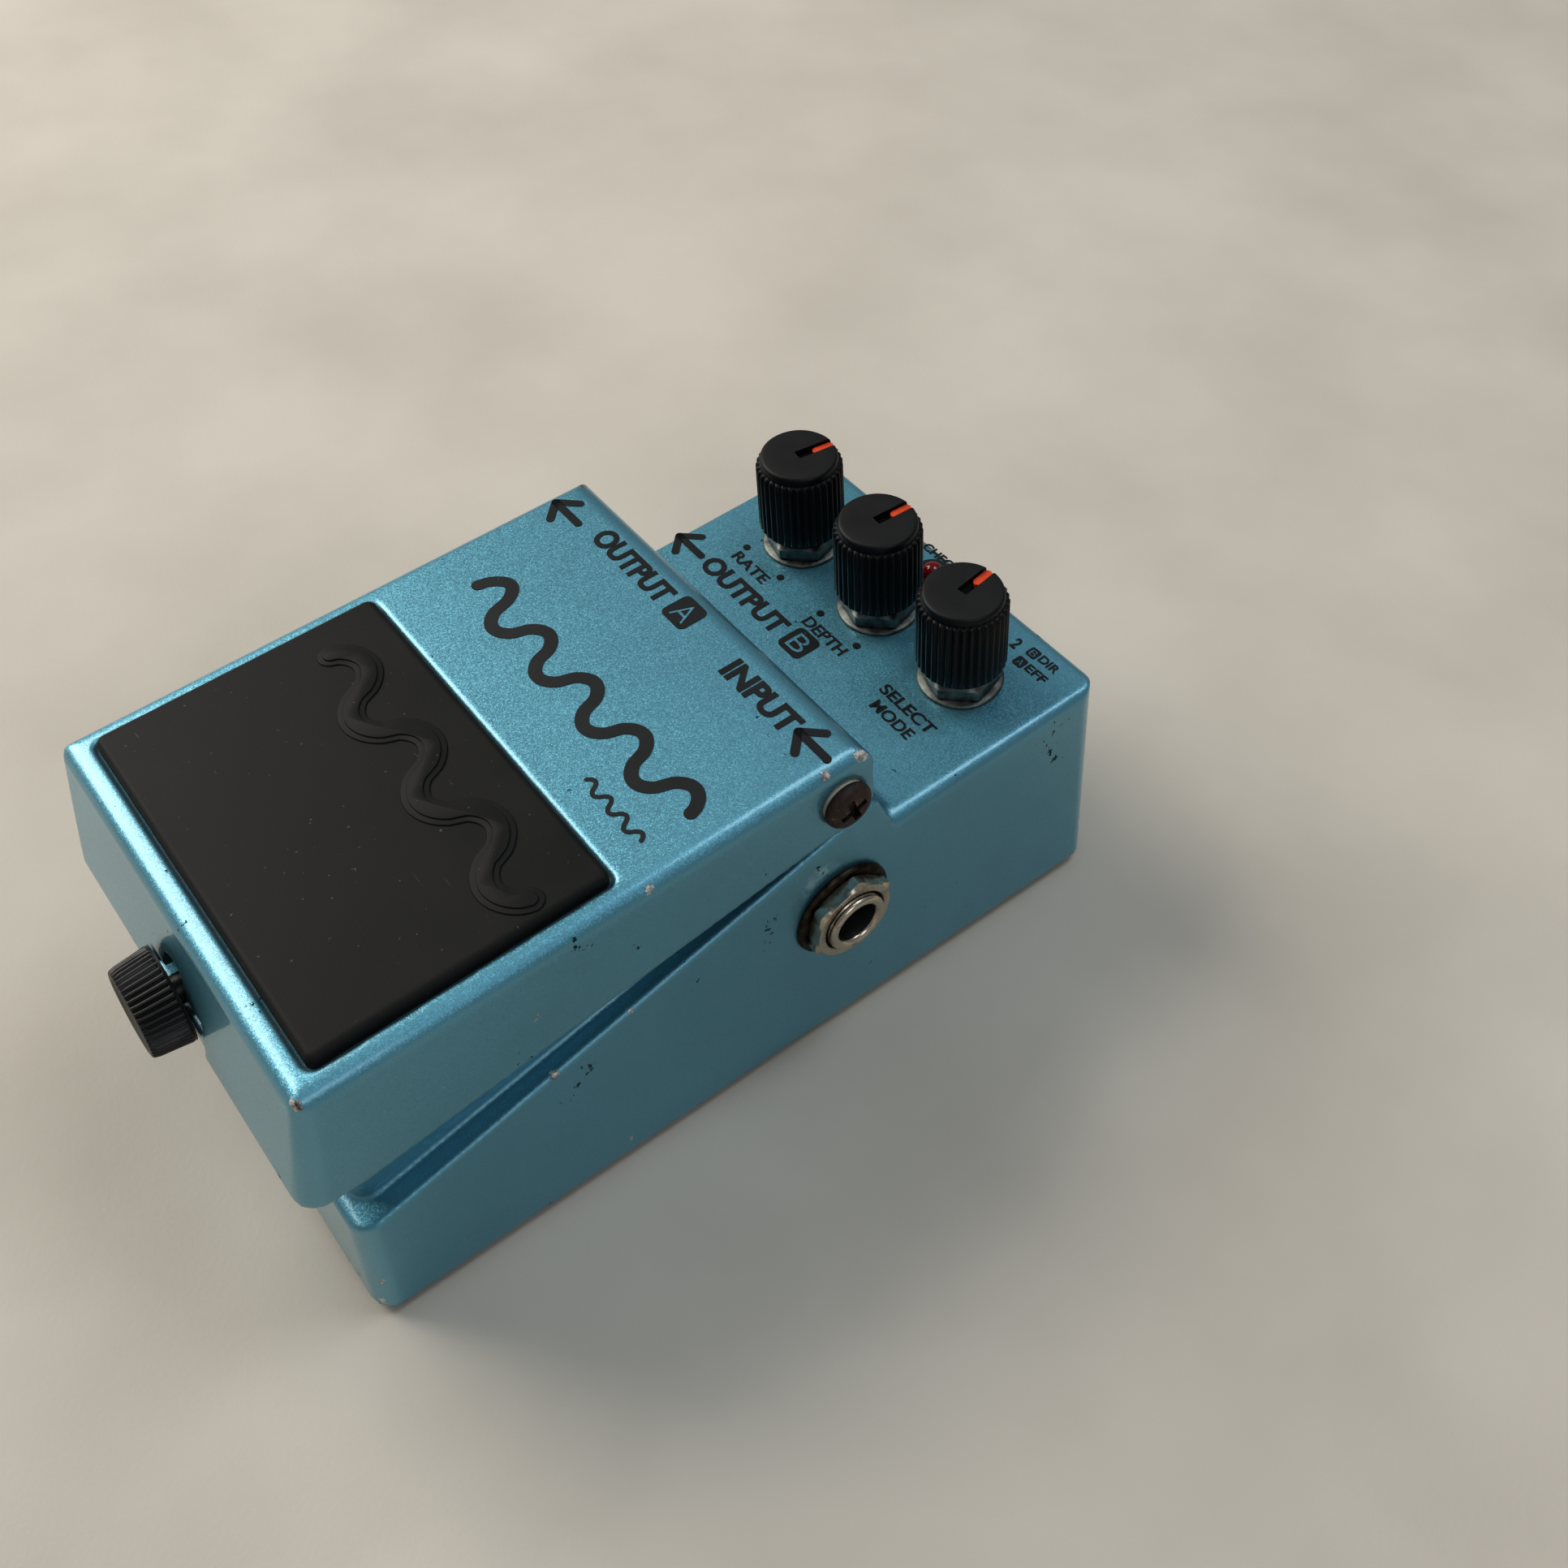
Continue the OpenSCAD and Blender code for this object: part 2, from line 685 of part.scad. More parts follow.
module treadle() {
  color(paint) seat() difference() {
    union() {
      difference() {
        intersection() {
          across(80) treadle_side_view();
          on_treadle() along(-8, 100) treadle_section(0);
        }
        intersection() {
          across(80) treadle_hollow_view();
          on_treadle() translate([0, 0, -wall]) along(-8, 100) treadle_section(wall);
        }
        both_sides() edge_waste([treadle_w / 2 + 0.35, -4.72, 32], [treadle_w / 2, -2.3, treadle_front_z],
          3.4, 90 - 98);
      }
      // spring seat and striker boss
      on_treadle() translate([0, spring_y + 2.6, -3]) tube(3.9, 2.6, 1.5);
      translate([switch_x, switch_y, 47.6]) cylinder(r = 4, h = 4);
    }
    on_treadle() translate([0, 4.3 + pad_len / 2, -0.8]) slab(pad_w + 1, pad_len + 1, 3, pad_corner_r + 0.4);
    // notch behind the thumbscrew head, with a slot for its shaft
    along(-9, 3) {
      translate([-thumb_d / 2 - 0.35, 20]) square([thumb_d + 0.7, 19.3]);
      translate([-slot_r, 20]) square([2 * slot_r, slot_top - slot_r - 20]);
      translate([0, slot_top - slot_r]) circle(slot_r);
    }
    both_sides() translate([28, hinge_y, hinge_z]) rotate([0, 90, 0]) cylinder(r = 3.35, h = 10);
  }
}

module treadle_pad() {
  color(black) seat() on_treadle() translate([0, 4.3 + pad_len / 2, -0.78]) {
    slab(pad_w, pad_len, 0.78 + pad_rise - 0.5, pad_corner_r);
    slab(pad_w - 1, pad_len - 1, 0.78 + pad_rise, pad_corner_r - 0.4);
  }
}

module striker_pad() {
  color("#6b6a66") seat() translate([switch_x, switch_y, 46.8]) cylinder(r = 2.9, h = 0.79);
}

module hinge_screws() {
  color("#6d5446") seat() both_sides() translate([0, hinge_y, hinge_z]) rotate([0, 90, 0])
    difference() {
      union() {
        translate([0, 0, 21]) cylinder(r = 2, h = 14);
        translate([0, 0, 34.5]) cylinder(r = 3.6, h = 1);
        translate([0, 0, 35.5]) cylinder(r1 = 3.6, r2 = 2.7, h = 0.9);
      }
      for (a = [20, 110]) rotate([0, 0, a]) translate([-2, -0.5, 35.2]) cube([4, 1, 3]);
    }
}

module hinge_bushes() {
  color("#d8d5c8") seat() both_sides() translate([0, hinge_y, hinge_z]) rotate([0, 90, 0])
    translate([0, 0, 31.5]) tube(3.3, 2.05, 2.9);
}

// ---------- thumbscrew ----------
module thumb_collar() {
  color("#d8d5c8") seat() translate([0, 0.1, thumb_z]) rotate([-90, 0, 0])
    tube(collar_r, thumb_shaft_r + 0.06, 1.7);
}

module thumbscrew() {
  r = thumb_d / 2;
  color(black) seat() translate([0, -10, thumb_z]) rotate([-90, 0, 0]) difference() {
    union() {
      cylinder(r1 = r - 1, r2 = r - 0.55, h = 5.6);
      for (i = [0 : 29]) rotate([0, 0, 12 * i])
        translate([r - 1.1, 0, 2.65]) rotate([0, 5.3, 0]) cube([1, 0.7, 5], center = true);
      translate([0, 0, 4.9]) cylinder(r = r - 0.2, h = 0.7);
      translate([0, 0, 5]) cylinder(r = thumb_shaft_r, h = 13.4);
    }
    translate([0, 0, -1]) cylinder(r1 = r - 1, r2 = r - 2.2, h = 1.5);
  }
}

chassis();
base_plate();
base_rubber();
base_screws();
thumb_bush();
main_board();
insulating_sheet();
board_screws();
chips();
electrolytic_capacitors();
film_capacitors();
resistors();
trimmers();
control_board();
board_wires();
jack_housings();
input_jack_bushing();
output_a_bushing();
output_b_bushing();
jack_washers();
jack_nuts();
jack_terminals();
dc_inlet();
dc_inlet_pin();
pot_cases();
pot_washers();
pot_nuts();
led();
led_collar();
switch_case();
switch_plunger();
return_spring();
battery();
battery_snap();
battery_leads();
battery_foam();
hinge_screws();
hinge_bushes();
treadle();
treadle_pad();
striker_pad();
thumb_collar();
thumbscrew();
knob_1();
knob_2();
knob_3();
knob_pointer_1();
knob_pointer_2();
knob_pointer_3();
pot_shaft_1();
pot_shaft_2();
pot_shaft_3();
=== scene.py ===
"""Looks for the compact guitar effects pedal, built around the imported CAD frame.

Metres, +Z up, +Y towards the knobs, origin on the ground under the middle of the whole
pedal. Places on the pedal are given in millimetres, Y from the front wall of the case.
"""

import math

import bmesh
import bpy
from mathutils import Matrix, Vector


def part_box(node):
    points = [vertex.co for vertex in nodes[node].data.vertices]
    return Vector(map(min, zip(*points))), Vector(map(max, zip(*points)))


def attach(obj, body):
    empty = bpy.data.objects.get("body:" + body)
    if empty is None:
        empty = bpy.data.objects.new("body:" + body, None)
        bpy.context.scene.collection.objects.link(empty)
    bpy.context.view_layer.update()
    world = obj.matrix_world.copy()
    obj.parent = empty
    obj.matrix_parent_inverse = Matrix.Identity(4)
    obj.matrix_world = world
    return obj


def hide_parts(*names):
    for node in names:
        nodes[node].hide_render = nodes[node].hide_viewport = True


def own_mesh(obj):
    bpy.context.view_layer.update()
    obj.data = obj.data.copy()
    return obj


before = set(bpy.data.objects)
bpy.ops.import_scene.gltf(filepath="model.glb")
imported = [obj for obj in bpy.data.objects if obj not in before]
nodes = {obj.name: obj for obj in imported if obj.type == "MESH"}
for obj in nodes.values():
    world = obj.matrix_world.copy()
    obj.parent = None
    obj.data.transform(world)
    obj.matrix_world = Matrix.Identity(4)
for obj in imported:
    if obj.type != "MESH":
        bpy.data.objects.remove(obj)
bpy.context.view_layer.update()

MM = 0.001
X, Y, Z = Vector((1, 0, 0)), Vector((0, 1, 0)), Vector((0, 0, 1))

# Sizes that the frame gives: the front wall, the case's length ahead of its rear wall, and the knobs
CASE_LENGTH = 126.3
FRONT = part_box("chassis")[1].y - CASE_LENGTH * MM
KNOB_R = (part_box("knob_2")[1].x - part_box("knob_2")[0].x) / 2

# The control panel and the treadle top: where they start, how high, and how they slope
PANEL_TILT = math.radians(3)
PANEL_Y, PANEL_Z = 85.2, 36.5
TREAD_TILT = math.radians(2.5)
TREAD_Y, TREAD_Z = -2.3, 52.65

# Rubber pad on the treadle
PAD_Y = 2.0
PAD_WIDTH, PAD_LENGTH, PAD_RISE = 60.8, 40.6, 1.4
PAD_ROLL, PAD_CORNER, PAD_SUNK = 0.95, 1.2, 0.72

# Controls: each knob's place across, the row they stand in, and the turn of each pointer
KNOB_X = {1: -18.9, 2: 0.0, 3: 18.9}
KNOB_Y = 109.8
KNOB_GAP = 4.2
KNOB_TOP = 13.8
POINTER_TURN = {1: math.radians(-10), 2: math.radians(-4), 3: math.radians(7)}
LAMP_Y = 120.6

# Jack sockets: side, place along it, and the node of the threaded bush; then their height
JACKS = [(1, 76, "input_jack_bushing"), (-1, 76, "output_a_bushing"), (-1, 95, "output_b_bushing")]
JACK_Z = 25.4

# Thumbscrew and hinge
THUMB_Y, THUMB_Z = -10, 38
HINGE_Y, HINGE_Z = 75.5, 49

# Round wires: sides of their section, and the sleeve of a battery lead
WIRE_SIDES = 12
LEAD_R = 0.58


# ---------------------------------------------------------------- colour and nodes
def linear(code):
    """An sRGB hex colour as linear red, green, blue and alpha."""
    parts = [int(code[i:i + 2], 16) / 255 for i in (0, 2, 4)]
    return tuple(c / 12.92 if c <= 0.04045 else ((c + 0.055) / 1.055) ** 2.4 for c in parts) + (1,)


def per(mm):
    """Texture scale that makes one cell or wave of the pattern this many millimetres."""
    return 1 / (mm * MM)


def start(name):
    """A new material, and the function that adds a node to it with its settings and links."""
    made = bpy.data.materials.new(name)
    made.use_nodes = True
    tree = made.node_tree
    tree.nodes.clear()

    def add(kind, links=None, stops=None, **settings):
        node = tree.nodes.new("ShaderNode" + kind)
        for key, value in settings.items():
            setattr(node, key, value)
        for key, value in (links or {}).items():
            if isinstance(value, bpy.types.Node):
                value = next(s for s in value.outputs if s.enabled)
            if isinstance(value, bpy.types.NodeSocket):
                tree.links.new(value, node.inputs[key])
            else:
                node.inputs[key].default_value = value
        for number, (place, code) in enumerate(stops or []):
            ramp = node.color_ramp.elements
            stop = ramp[number] if number < 2 else ramp.new(place)
            stop.position = place
            stop.color = linear(code)
        return node

    return made, add


def finish_surface(add, shader):
    add("OutputMaterial", {"Surface": shader.outputs[0]})


# ---------------------------------------------------------------- materials
# Knocks through the paint: place from the front wall in mm, and radius in mm
CHIPS = [
    (34.2, 78.6, 55.6, 1.3), (33.6, 72.8, 55.4, 0.8), (34.4, 45.8, 54.2, 1.1), (34.5, 42.6, 54.0, 0.6),
    (33.4, -1.4, 52.2, 1.1), (34.7, 28.0, 43.2, 0.7), (34.7, 15.0, 41.0, 0.3), (34.6, 23.0, 50.2, 0.35),
    (-33.8, -1.4, 52.4, 1.0), (-33.6, 79.2, 55.8, 1.2), (33.2, 125.6, 37.6, 0.9), (-33.2, 125.4, 37.6, 1.0),
    (33.4, 29.5, 27.9, 0.7), (33.6, 41.5, 31.2, 0.5), (34.3, 1.2, 8.0, 0.7), (33.9, 0.6, 3.0, 0.8),
    (34.6, 38.5, 4.5, 0.5), (-12.0, -2.2, 52.6, 0.5), (-33.9, 30.0, 53.4, 0.8), (0.0, 125.8, 38.2, 0.6),
]


def metallic_lacquer():
    """Die-cast aluminium sprayed with teal metallic lacquer under clear coat: bright where it faces
    the light and deep where it turns away, with fine glittering flake, sharp pale glints in the clear
    coat along the edges, a few knocks down to dull primer and bare metal, fine scratches, and dirt
    with painted shade where parts meet, darkest where ambient occlusion finds a corner."""
    made, add = start("teal_metallic_lacquer")
    place = add("TexCoord").outputs["Object"]
    grain = add("TexVoronoi", {"Vector": place, "Scale": per(0.13)})
    tilt = add("VectorMath", {0: grain.outputs["Color"], 1: (0.5, 0.5, 0.5)}, operation="SUBTRACT")
    small = add("VectorMath", {0: tilt, "Scale": 0.24}, operation="SCALE")
    smooth = add("Bevel", {"Radius": 0.7 * MM}, samples=6)
    toward = add("VectorMath", {0: smooth, 1: small}, operation="ADD")
    flake = add("VectorMath", {0: toward}, operation="NORMALIZE")
    # sprayed coats: slow changes of depth, and fine orange peel
    cloud = add("TexNoise", {"Vector": place, "Scale": per(22), "Detail": 3.0})
    shade = add("ValToRGB", {"Fac": cloud}, stops=[(0.3, "4596b0"), (0.7, "50a2bc")])
    speck = add("ValToRGB", {"Fac": grain.outputs["Distance"]}, stops=[(0.0, "ffffff"), (0.8, "c4ced1")])
    body = add("MixRGB", {"Fac": 0.45, "Color1": shade, "Color2": speck}, blend_type="MULTIPLY")
    peel = add("TexNoise", {"Vector": place, "Scale": per(0.9), "Detail": 2.0})
    coat = add("Bump", {"Height": peel, "Strength": 0.04, "Distance": 0.2 * MM, "Normal": smooth})
    # dirt and painted shade held in the corners: ambient occlusion darkens the colour there, and a noise
    # makes it uneven
    close = add("AmbientOcclusion", {"Distance": 2.2 * MM}, samples=6)
    smear = add("TexNoise", {"Vector": place, "Scale": per(2.6), "Detail": 6.0})
    dirt_and_shade_amount = add("Math", {0: close.outputs["AO"], 1: smear.outputs["Fac"]}, operation="ADD")
    dirt_and_shade = add("ValToRGB", {"Fac": dirt_and_shade_amount}, stops=[(0.75, "ffffff"), (1.12, "000000")])
    soiled_and_shaded = add("MixRGB", {"Fac": dirt_and_shade, "Color1": body, "Color2": linear("22343a")})
    # fine scratches along the length and across it
    scored = soiled_and_shaded
    for turn in (0.35, 1.9):
        run = add("Mapping", {"Vector": place, "Rotation": (0.2, 0.3, turn), "Scale": (1, 22, 1)})
        hair = add("TexNoise", {"Vector": run, "Scale": per(7), "Detail": 6.0, "Roughness": 0.75})
        line = add("ValToRGB", {"Fac": hair}, stops=[(0.70, "000000"), (0.73, "5c5c5c")])
        scored = add("MixRGB", {"Fac": line, "Color1": scored, "Color2": linear("a9bdc0")})
    # knocks: each is a ragged patch round its own place
    ragged = add("TexNoise", {"Vector": place, "Scale": per(1.1), "Detail": 5.0, "Roughness": 0.7})
    push = add("VectorMath", {0: ragged.outputs["Color"], 1: (0.5, 0.5, 0.5)}, operation="SUBTRACT")
    shift = add("VectorMath", {0: push, "Scale": 2.6 * MM}, operation="SCALE")
    torn = add("VectorMath", {0: place, 1: shift}, operation="ADD")
    nearest = None
    for x, y, z, r in CHIPS:
        spot = (x * MM, FRONT + y * MM, z * MM)
        far = add("VectorMath", {0: torn, 1: spot}, operation="DISTANCE").outputs["Value"]
        depth = add("Math", {0: far, 1: r * MM}, operation="DIVIDE")
        nearest = depth if nearest is None else add("Math", {0: nearest, 1: depth}, operation="MINIMUM")
    # small nicks, thinly spread
    nick = add("TexNoise", {"Vector": place, "Scale": per(1.2), "Detail": 4.0, "Roughness": 0.62})
    rare = add("TexNoise", {"Vector": place, "Scale": per(9), "Detail": 1.0})
    joint = add("Math", {0: nick.outputs["Fac"], 1: rare.outputs["Fac"]}, operation="MULTIPLY")
    nicks = add("ValToRGB", {"Fac": joint}, stops=[(0.452, "000000"), (0.464, "ffffff")])
    # paint rubbed thin along the sharp edges
    flat = add("NewGeometry").outputs["Normal"]
    round_off = add("Bevel", {"Radius": 0.9 * MM}, samples=4)
    agree = add("VectorMath", {0: round_off, 1: flat}, operation="DOT_PRODUCT").outputs["Value"]
    edge = add("Math", {0: agree, 1: smear.outputs["Fac"]}, operation="ADD")
    rubbed = add("ValToRGB", {"Fac": edge}, stops=[(1.20, "8a8a8a"), (1.28, "000000")])
    edged = add("MixRGB", {"Fac": rubbed, "Color1": scored, "Color2": linear("9fc3cc")})
    knocked = add("ValToRGB", {"Fac": nearest}, stops=[(0.82, "ffffff"), (1.0, "000000")])
    bare = add("ValToRGB", {"Fac": ragged.outputs["Fac"]},
               stops=[(0.38, "564c44"), (0.48, "a39b94"), (0.60, "e2dfdb")])
    worn = add("MixRGB", {"Fac": knocked, "Color1": edged, "Color2": bare})
    dark = add("MixRGB", {"Fac": nicks, "Color1": worn, "Color2": linear("1b3d47")})
    hole = add("Math", {0: knocked, 1: nicks}, operation="MAXIMUM")
    rough = add("MapRange", {"Value": hole, "To Min": 0.46, "To Max": 0.5})
    metal = add("MapRange", {"Value": dirt_and_shade, "To Min": 0.86, "To Max": 0.2})
    sunk = add("MapRange", {"Value": hole, "To Min": 1.0, "To Max": 0.0})
    normal = add("Bump", {"Height": sunk, "Strength": 0.5, "Distance": 0.12 * MM, "Normal": flake})
    clear = add("MapRange", {"Value": hole, "To Min": 0.75, "To Max": 0.0})
    shader = add("BsdfPrincipled", {
        "Base Color": dark, "Roughness": rough.outputs[0], "Metallic": metal.outputs[0],
        "Normal": normal, "Coat Weight": clear.outputs[0], "Coat Roughness": 0.1, "Coat Normal": coat,
    })
    finish_surface(add, shader)
    return made


def moulded_rubber():
    """Black moulded rubber: matt, finely grained, greyed by shoe dust, with pale scuffs."""
    made, add = start("moulded_black_rubber")
    place = add("TexCoord").outputs["Object"]
    fine = add("TexNoise", {"Vector": place, "Scale": per(0.25), "Detail": 3.0})
    dust = add("TexNoise", {"Vector": place, "Scale": per(14), "Detail": 6.0, "Roughness": 0.6})
    tone = add("ValToRGB", {"Fac": dust}, stops=[(0.35, "131414"), (0.65, "1e1e1d")])
    long_way = add("Mapping", {"Vector": place, "Rotation": (0, 0, 0.6), "Scale": (1, 12, 1)})
    scratch = add("TexNoise", {"Vector": long_way, "Scale": per(9), "Detail": 5.0, "Roughness": 0.7})
    line = add("ValToRGB", {"Fac": scratch}, stops=[(0.69, "000000"), (0.74, "ffffff")])
    colour = add("MixRGB", {"Fac": line, "Color1": tone, "Color2": linear("383a39")})
    speck = add("TexNoise", {"Vector": place, "Scale": per(0.7), "Detail": 1.0})
    spot = add("ValToRGB", {"Fac": speck}, stops=[(0.76, "000000"), (0.8, "ffffff")])
    dotted = add("MixRGB", {"Fac": spot, "Color1": colour, "Color2": linear("4b4b48")})
    rough = add("MapRange", {"Value": dust, "To Min": 0.52, "To Max": 0.72})
    normal = add("Bump", {"Height": fine, "Strength": 0.25, "Distance": 0.05 * MM})
    shader = add("BsdfPrincipled", {"Base Color": dotted, "Roughness": rough.outputs[0], "IOR": 1.5,
                                    "Specular IOR Level": 0.25, "Normal": normal})
    finish_surface(add, shader)
    return made


def plain_finish(name, low, high, roughness, metallic=0.0, grain_mm=0.4, bump=0.15, cloud_mm=6, ior=1.5,
                 rounded=0.12, dirt_and_shade_tone="", coat=0.0):
    """The common build of the small parts' finishes: two close tones in slow clouds, a fine surface
    grain, edges eased by the mould or the press, and, where a part is given some, dirt with painted shade in
    its corners."""
    made, add = start(name)
    place = add("TexCoord").outputs["Object"]
    cloud = add("TexNoise", {"Vector": place, "Scale": per(cloud_mm), "Detail": 5.0, "Roughness": 0.6})
    tone = add("ValToRGB", {"Fac": cloud}, stops=[(0.36, low), (0.64, high)])
    if dirt_and_shade_tone:
        # dirt with painted shade: the colour darkens towards the given dark tone where ambient occlusion
        # finds corners and parts close by
        close = add("AmbientOcclusion", {"Distance": 1.2 * MM}, samples=4)
        dirt_and_shade_amount = add("Math", {0: close.outputs["AO"], 1: cloud.outputs["Fac"]}, operation="ADD")
        dirt_and_shade = add("ValToRGB", {"Fac": dirt_and_shade_amount}, stops=[(0.85, "ffffff"), (1.3, "000000")])
        tone = add("MixRGB", {"Fac": dirt_and_shade, "Color1": tone, "Color2": linear(dirt_and_shade_tone)})
    fine = add("TexNoise", {"Vector": place, "Scale": per(grain_mm), "Detail": 2.0})
    eased = add("Bevel", {"Radius": rounded * MM}, samples=4)
    normal = add("Bump", {"Height": fine, "Strength": bump, "Distance": 0.05 * MM, "Normal": eased})
    rough = add("MapRange", {"Value": cloud, "To Min": roughness - 0.07, "To Max": roughness + 0.07})
    links = {"Base Color": tone, "Roughness": rough.outputs[0], "Metallic": metallic, "Normal": normal}
    if coat:
        links["Coat Weight"] = coat
    if not metallic:
        links["IOR"] = ior
    finish_surface(add, add("BsdfPrincipled", links))
    return made


def tarnished_nickel():
    """Turned brass plated with nickel, years old: warm grey metal, brown and black tarnish in blotches
    and in every corner, bright where hands and plugs rub it."""
    made, add = start("tarnished_nickel_plate")
    place = add("TexCoord").outputs["Object"]
    blotch = add("TexNoise", {"Vector": place, "Scale": per(2.6), "Detail": 6.0, "Roughness": 0.65})
    close = add("AmbientOcclusion", {"Distance": 1.4 * MM}, samples=6)
    open_air = add("Math", {0: close.outputs["AO"], 1: 0.5}, operation="MULTIPLY")
    sum_up = add("Math", {0: blotch.outputs["Fac"], 1: open_air}, operation="ADD")
    tone = add("ValToRGB", {"Fac": sum_up},
               stops=[(0.58, "1b1712"), (0.74, "4f4536"), (0.84, "968b7b"), (0.96, "c2b8a8")])
    fine = add("TexNoise", {"Vector": place, "Scale": per(0.3), "Detail": 3.0})
    eased = add("Bevel", {"Radius": 0.15 * MM}, samples=4)
    normal = add("Bump", {"Height": fine, "Strength": 0.2, "Distance": 0.05 * MM, "Normal": eased})
    rough = add("MapRange", {"Value": sum_up, "From Min": 0.6, "From Max": 1.0,
                             "To Min": 0.62, "To Max": 0.26})
    metal = add("MapRange", {"Value": sum_up, "From Min": 0.6, "From Max": 0.85,
                             "To Min": 0.35, "To Max": 1.0})
    shader = add("BsdfPrincipled", {"Base Color": tone, "Roughness": rough.outputs[0],
                                    "Metallic": metal.outputs[0], "Normal": normal})
    finish_surface(add, shader)
    return made


def rusted_steel():
    """Zinc-plated steel screw gone to rust: brown crust with darker pits, a few glints of plate, and painted
    shade in its cross recess and under its head.
    """
    made, add = start("rusted_steel")
    place = add("TexCoord").outputs["Object"]
    crust = add("TexNoise", {"Vector": place, "Scale": per(1.3), "Detail": 7.0, "Roughness": 0.7})
    tone = add("ValToRGB", {"Fac": crust},
               stops=[(0.3, "120d0b"), (0.45, "2b1e18"), (0.58, "4a382f"), (0.72, "8a7a6e")])
    # painted shade: the crust colour is multiplied by ambient occlusion, darkening the cross recess and the
    # head's underside
    close = add("AmbientOcclusion", {"Distance": 0.9 * MM}, samples=4)
    dark = add("MixRGB", {"Fac": 0.75, "Color1": tone, "Color2": close.outputs["Color"]},
               blend_type="MULTIPLY")
    eased = add("Bevel", {"Radius": 0.2 * MM}, samples=4)
    normal = add("Bump", {"Height": crust, "Strength": 0.5, "Distance": 0.25 * MM, "Normal": eased})
    metal = add("MapRange", {"Value": crust, "From Min": 0.4, "From Max": 0.75, "To Max": 0.8})
    shader = add("BsdfPrincipled", {"Base Color": dark, "Roughness": 0.55, "Metallic": metal.outputs[0],
                                    "Normal": normal})
    finish_surface(add, shader)
    return made


def lamp_resin():
    """Cast red epoxy: clear, smooth and dark while the lamp is off."""
    made, add = start("red_epoxy")
    place = add("TexCoord").outputs["Object"]
    cloud = add("TexNoise", {"Vector": place, "Scale": per(1.5), "Detail": 2.0})
    tone = add("ValToRGB", {"Fac": cloud}, stops=[(0.3, "7a0f14"), (0.7, "a01a20")])
    shader = add("BsdfPrincipled", {"Base Color": tone, "Roughness": 0.12, "IOR": 1.55,
                                    "Transmission Weight": 0.35})
    finish_surface(add, shader)
    return made


def print_ink():
    """Screen-printed black ink: flat, a little glossy, thinned and nicked by wear."""
    made, add = start("screen_print_ink")
    place = add("TexCoord").outputs["Object"]
    cloud = add("TexNoise", {"Vector": place, "Scale": per(5), "Detail": 5.0})
    tone = add("ValToRGB", {"Fac": cloud}, stops=[(0.3, "0a0d0f"), (0.7, "14191c")])
    worn = add("TexNoise", {"Vector": place, "Scale": per(0.9), "Detail": 4.0, "Roughness": 0.7})
    gone = add("ValToRGB", {"Fac": worn}, stops=[(0.70, "000000"), (0.74, "ffffff")])
    colour = add("MixRGB", {"Fac": gone, "Color1": tone, "Color2": linear("3f7f92")})
    shader = add("BsdfPrincipled", {"Base Color": colour, "Roughness": 0.42, "IOR": 1.5})
    finish_surface(add, shader)
    return made


def circuit_board():
    """Green solder mask over copper on glass laminate: tracks show as lighter lines, pads as tin."""
    made, add = start("solder_masked_laminate")
    place = add("TexCoord").outputs["Object"]
    bent = add("TexNoise", {"Vector": place, "Scale": per(30), "Detail": 1.0})
    tracks = add("TexBrick", {"Vector": place, "Scale": per(5), "Mortar Size": 0.06,
                              "Color1": linear("1f4a2c"), "Color2": linear("2a5c38"),
                              "Mortar": linear("4f8a5a")})
    colour = add("MixRGB", {"Fac": 0.15, "Color1": tracks, "Color2": bent.outputs["Color"]},
                 blend_type="OVERLAY")
    shader = add("BsdfPrincipled", {"Base Color": colour, "Roughness": 0.35, "IOR": 1.5})
    finish_surface(add, shader)
    return made


lacquer = metallic_lacquer()
rubber = moulded_rubber()
nickel = tarnished_nickel()
rust = rusted_steel()
resin = lamp_resin()
ink = print_ink()
board = circuit_board()
# ABS mouldings: satin, lightly grained, a little grey with handling
knob_plastic = plain_finish("moulded_black_abs", "040506", "0a0b0d", 0.46, ior=1.38, grain_mm=0.3, bump=0.12)
knob_top_plastic = plain_finish("textured_black_abs", "0c0d0e", "151618", 0.6,
                                ior=1.4, grain_mm=0.18, bump=0.5)
thumb_plastic = plain_finish("moulded_black_nylon", "0a0a0b", "141415", 0.42, grain_mm=0.3, bump=0.15)
thumb_face = plain_finish("rubbed_nylon_face", "3d3e37", "4b4c43", 0.62, grain_mm=0.2, bump=0.4, cloud_mm=3)
pointer_paint = plain_finish("orange_enamel", "c9401d", "dd5328", 0.45, grain_mm=0.4, cloud_mm=1.2)
bright_zinc = plain_finish("zinc_plated_steel", "8f908c", "b3b2ab", 0.34, metallic=1.0, dirt_and_shade_tone="3a352c")
dull_washer = plain_finish("tarnished_steel_washer", "1a1611", "4a4238", 0.5, metallic=0.9, cloud_mm=1.6,
                           dirt_and_shade_tone="17130f")
pot_washer = plain_finish("dull_zinc_washer", "4c514f", "7b807c", 0.48, metallic=1.0, cloud_mm=2.0,
                          dirt_and_shade_tone="1f1d18")
pot_nickel = plain_finish("dull_nickel_nut", "59605d", "858b87", 0.46, metallic=1.0, cloud_mm=1.8,
                          dirt_and_shade_tone="2a2a26")
brass = plain_finish("turned_brass", "9b7b3d", "b8975a", 0.32, metallic=1.0, dirt_and_shade_tone="4a3a20")
spring_steel = plain_finish("music_wire", "77787a", "a0a1a2", 0.3, metallic=1.0)
black_case = plain_finish("moulded_black_phenolic", "121314", "1e1f20", 0.5)
chip_epoxy = plain_finish("matt_black_epoxy", "17181a", "232426", 0.6, grain_mm=0.2, bump=0.3)
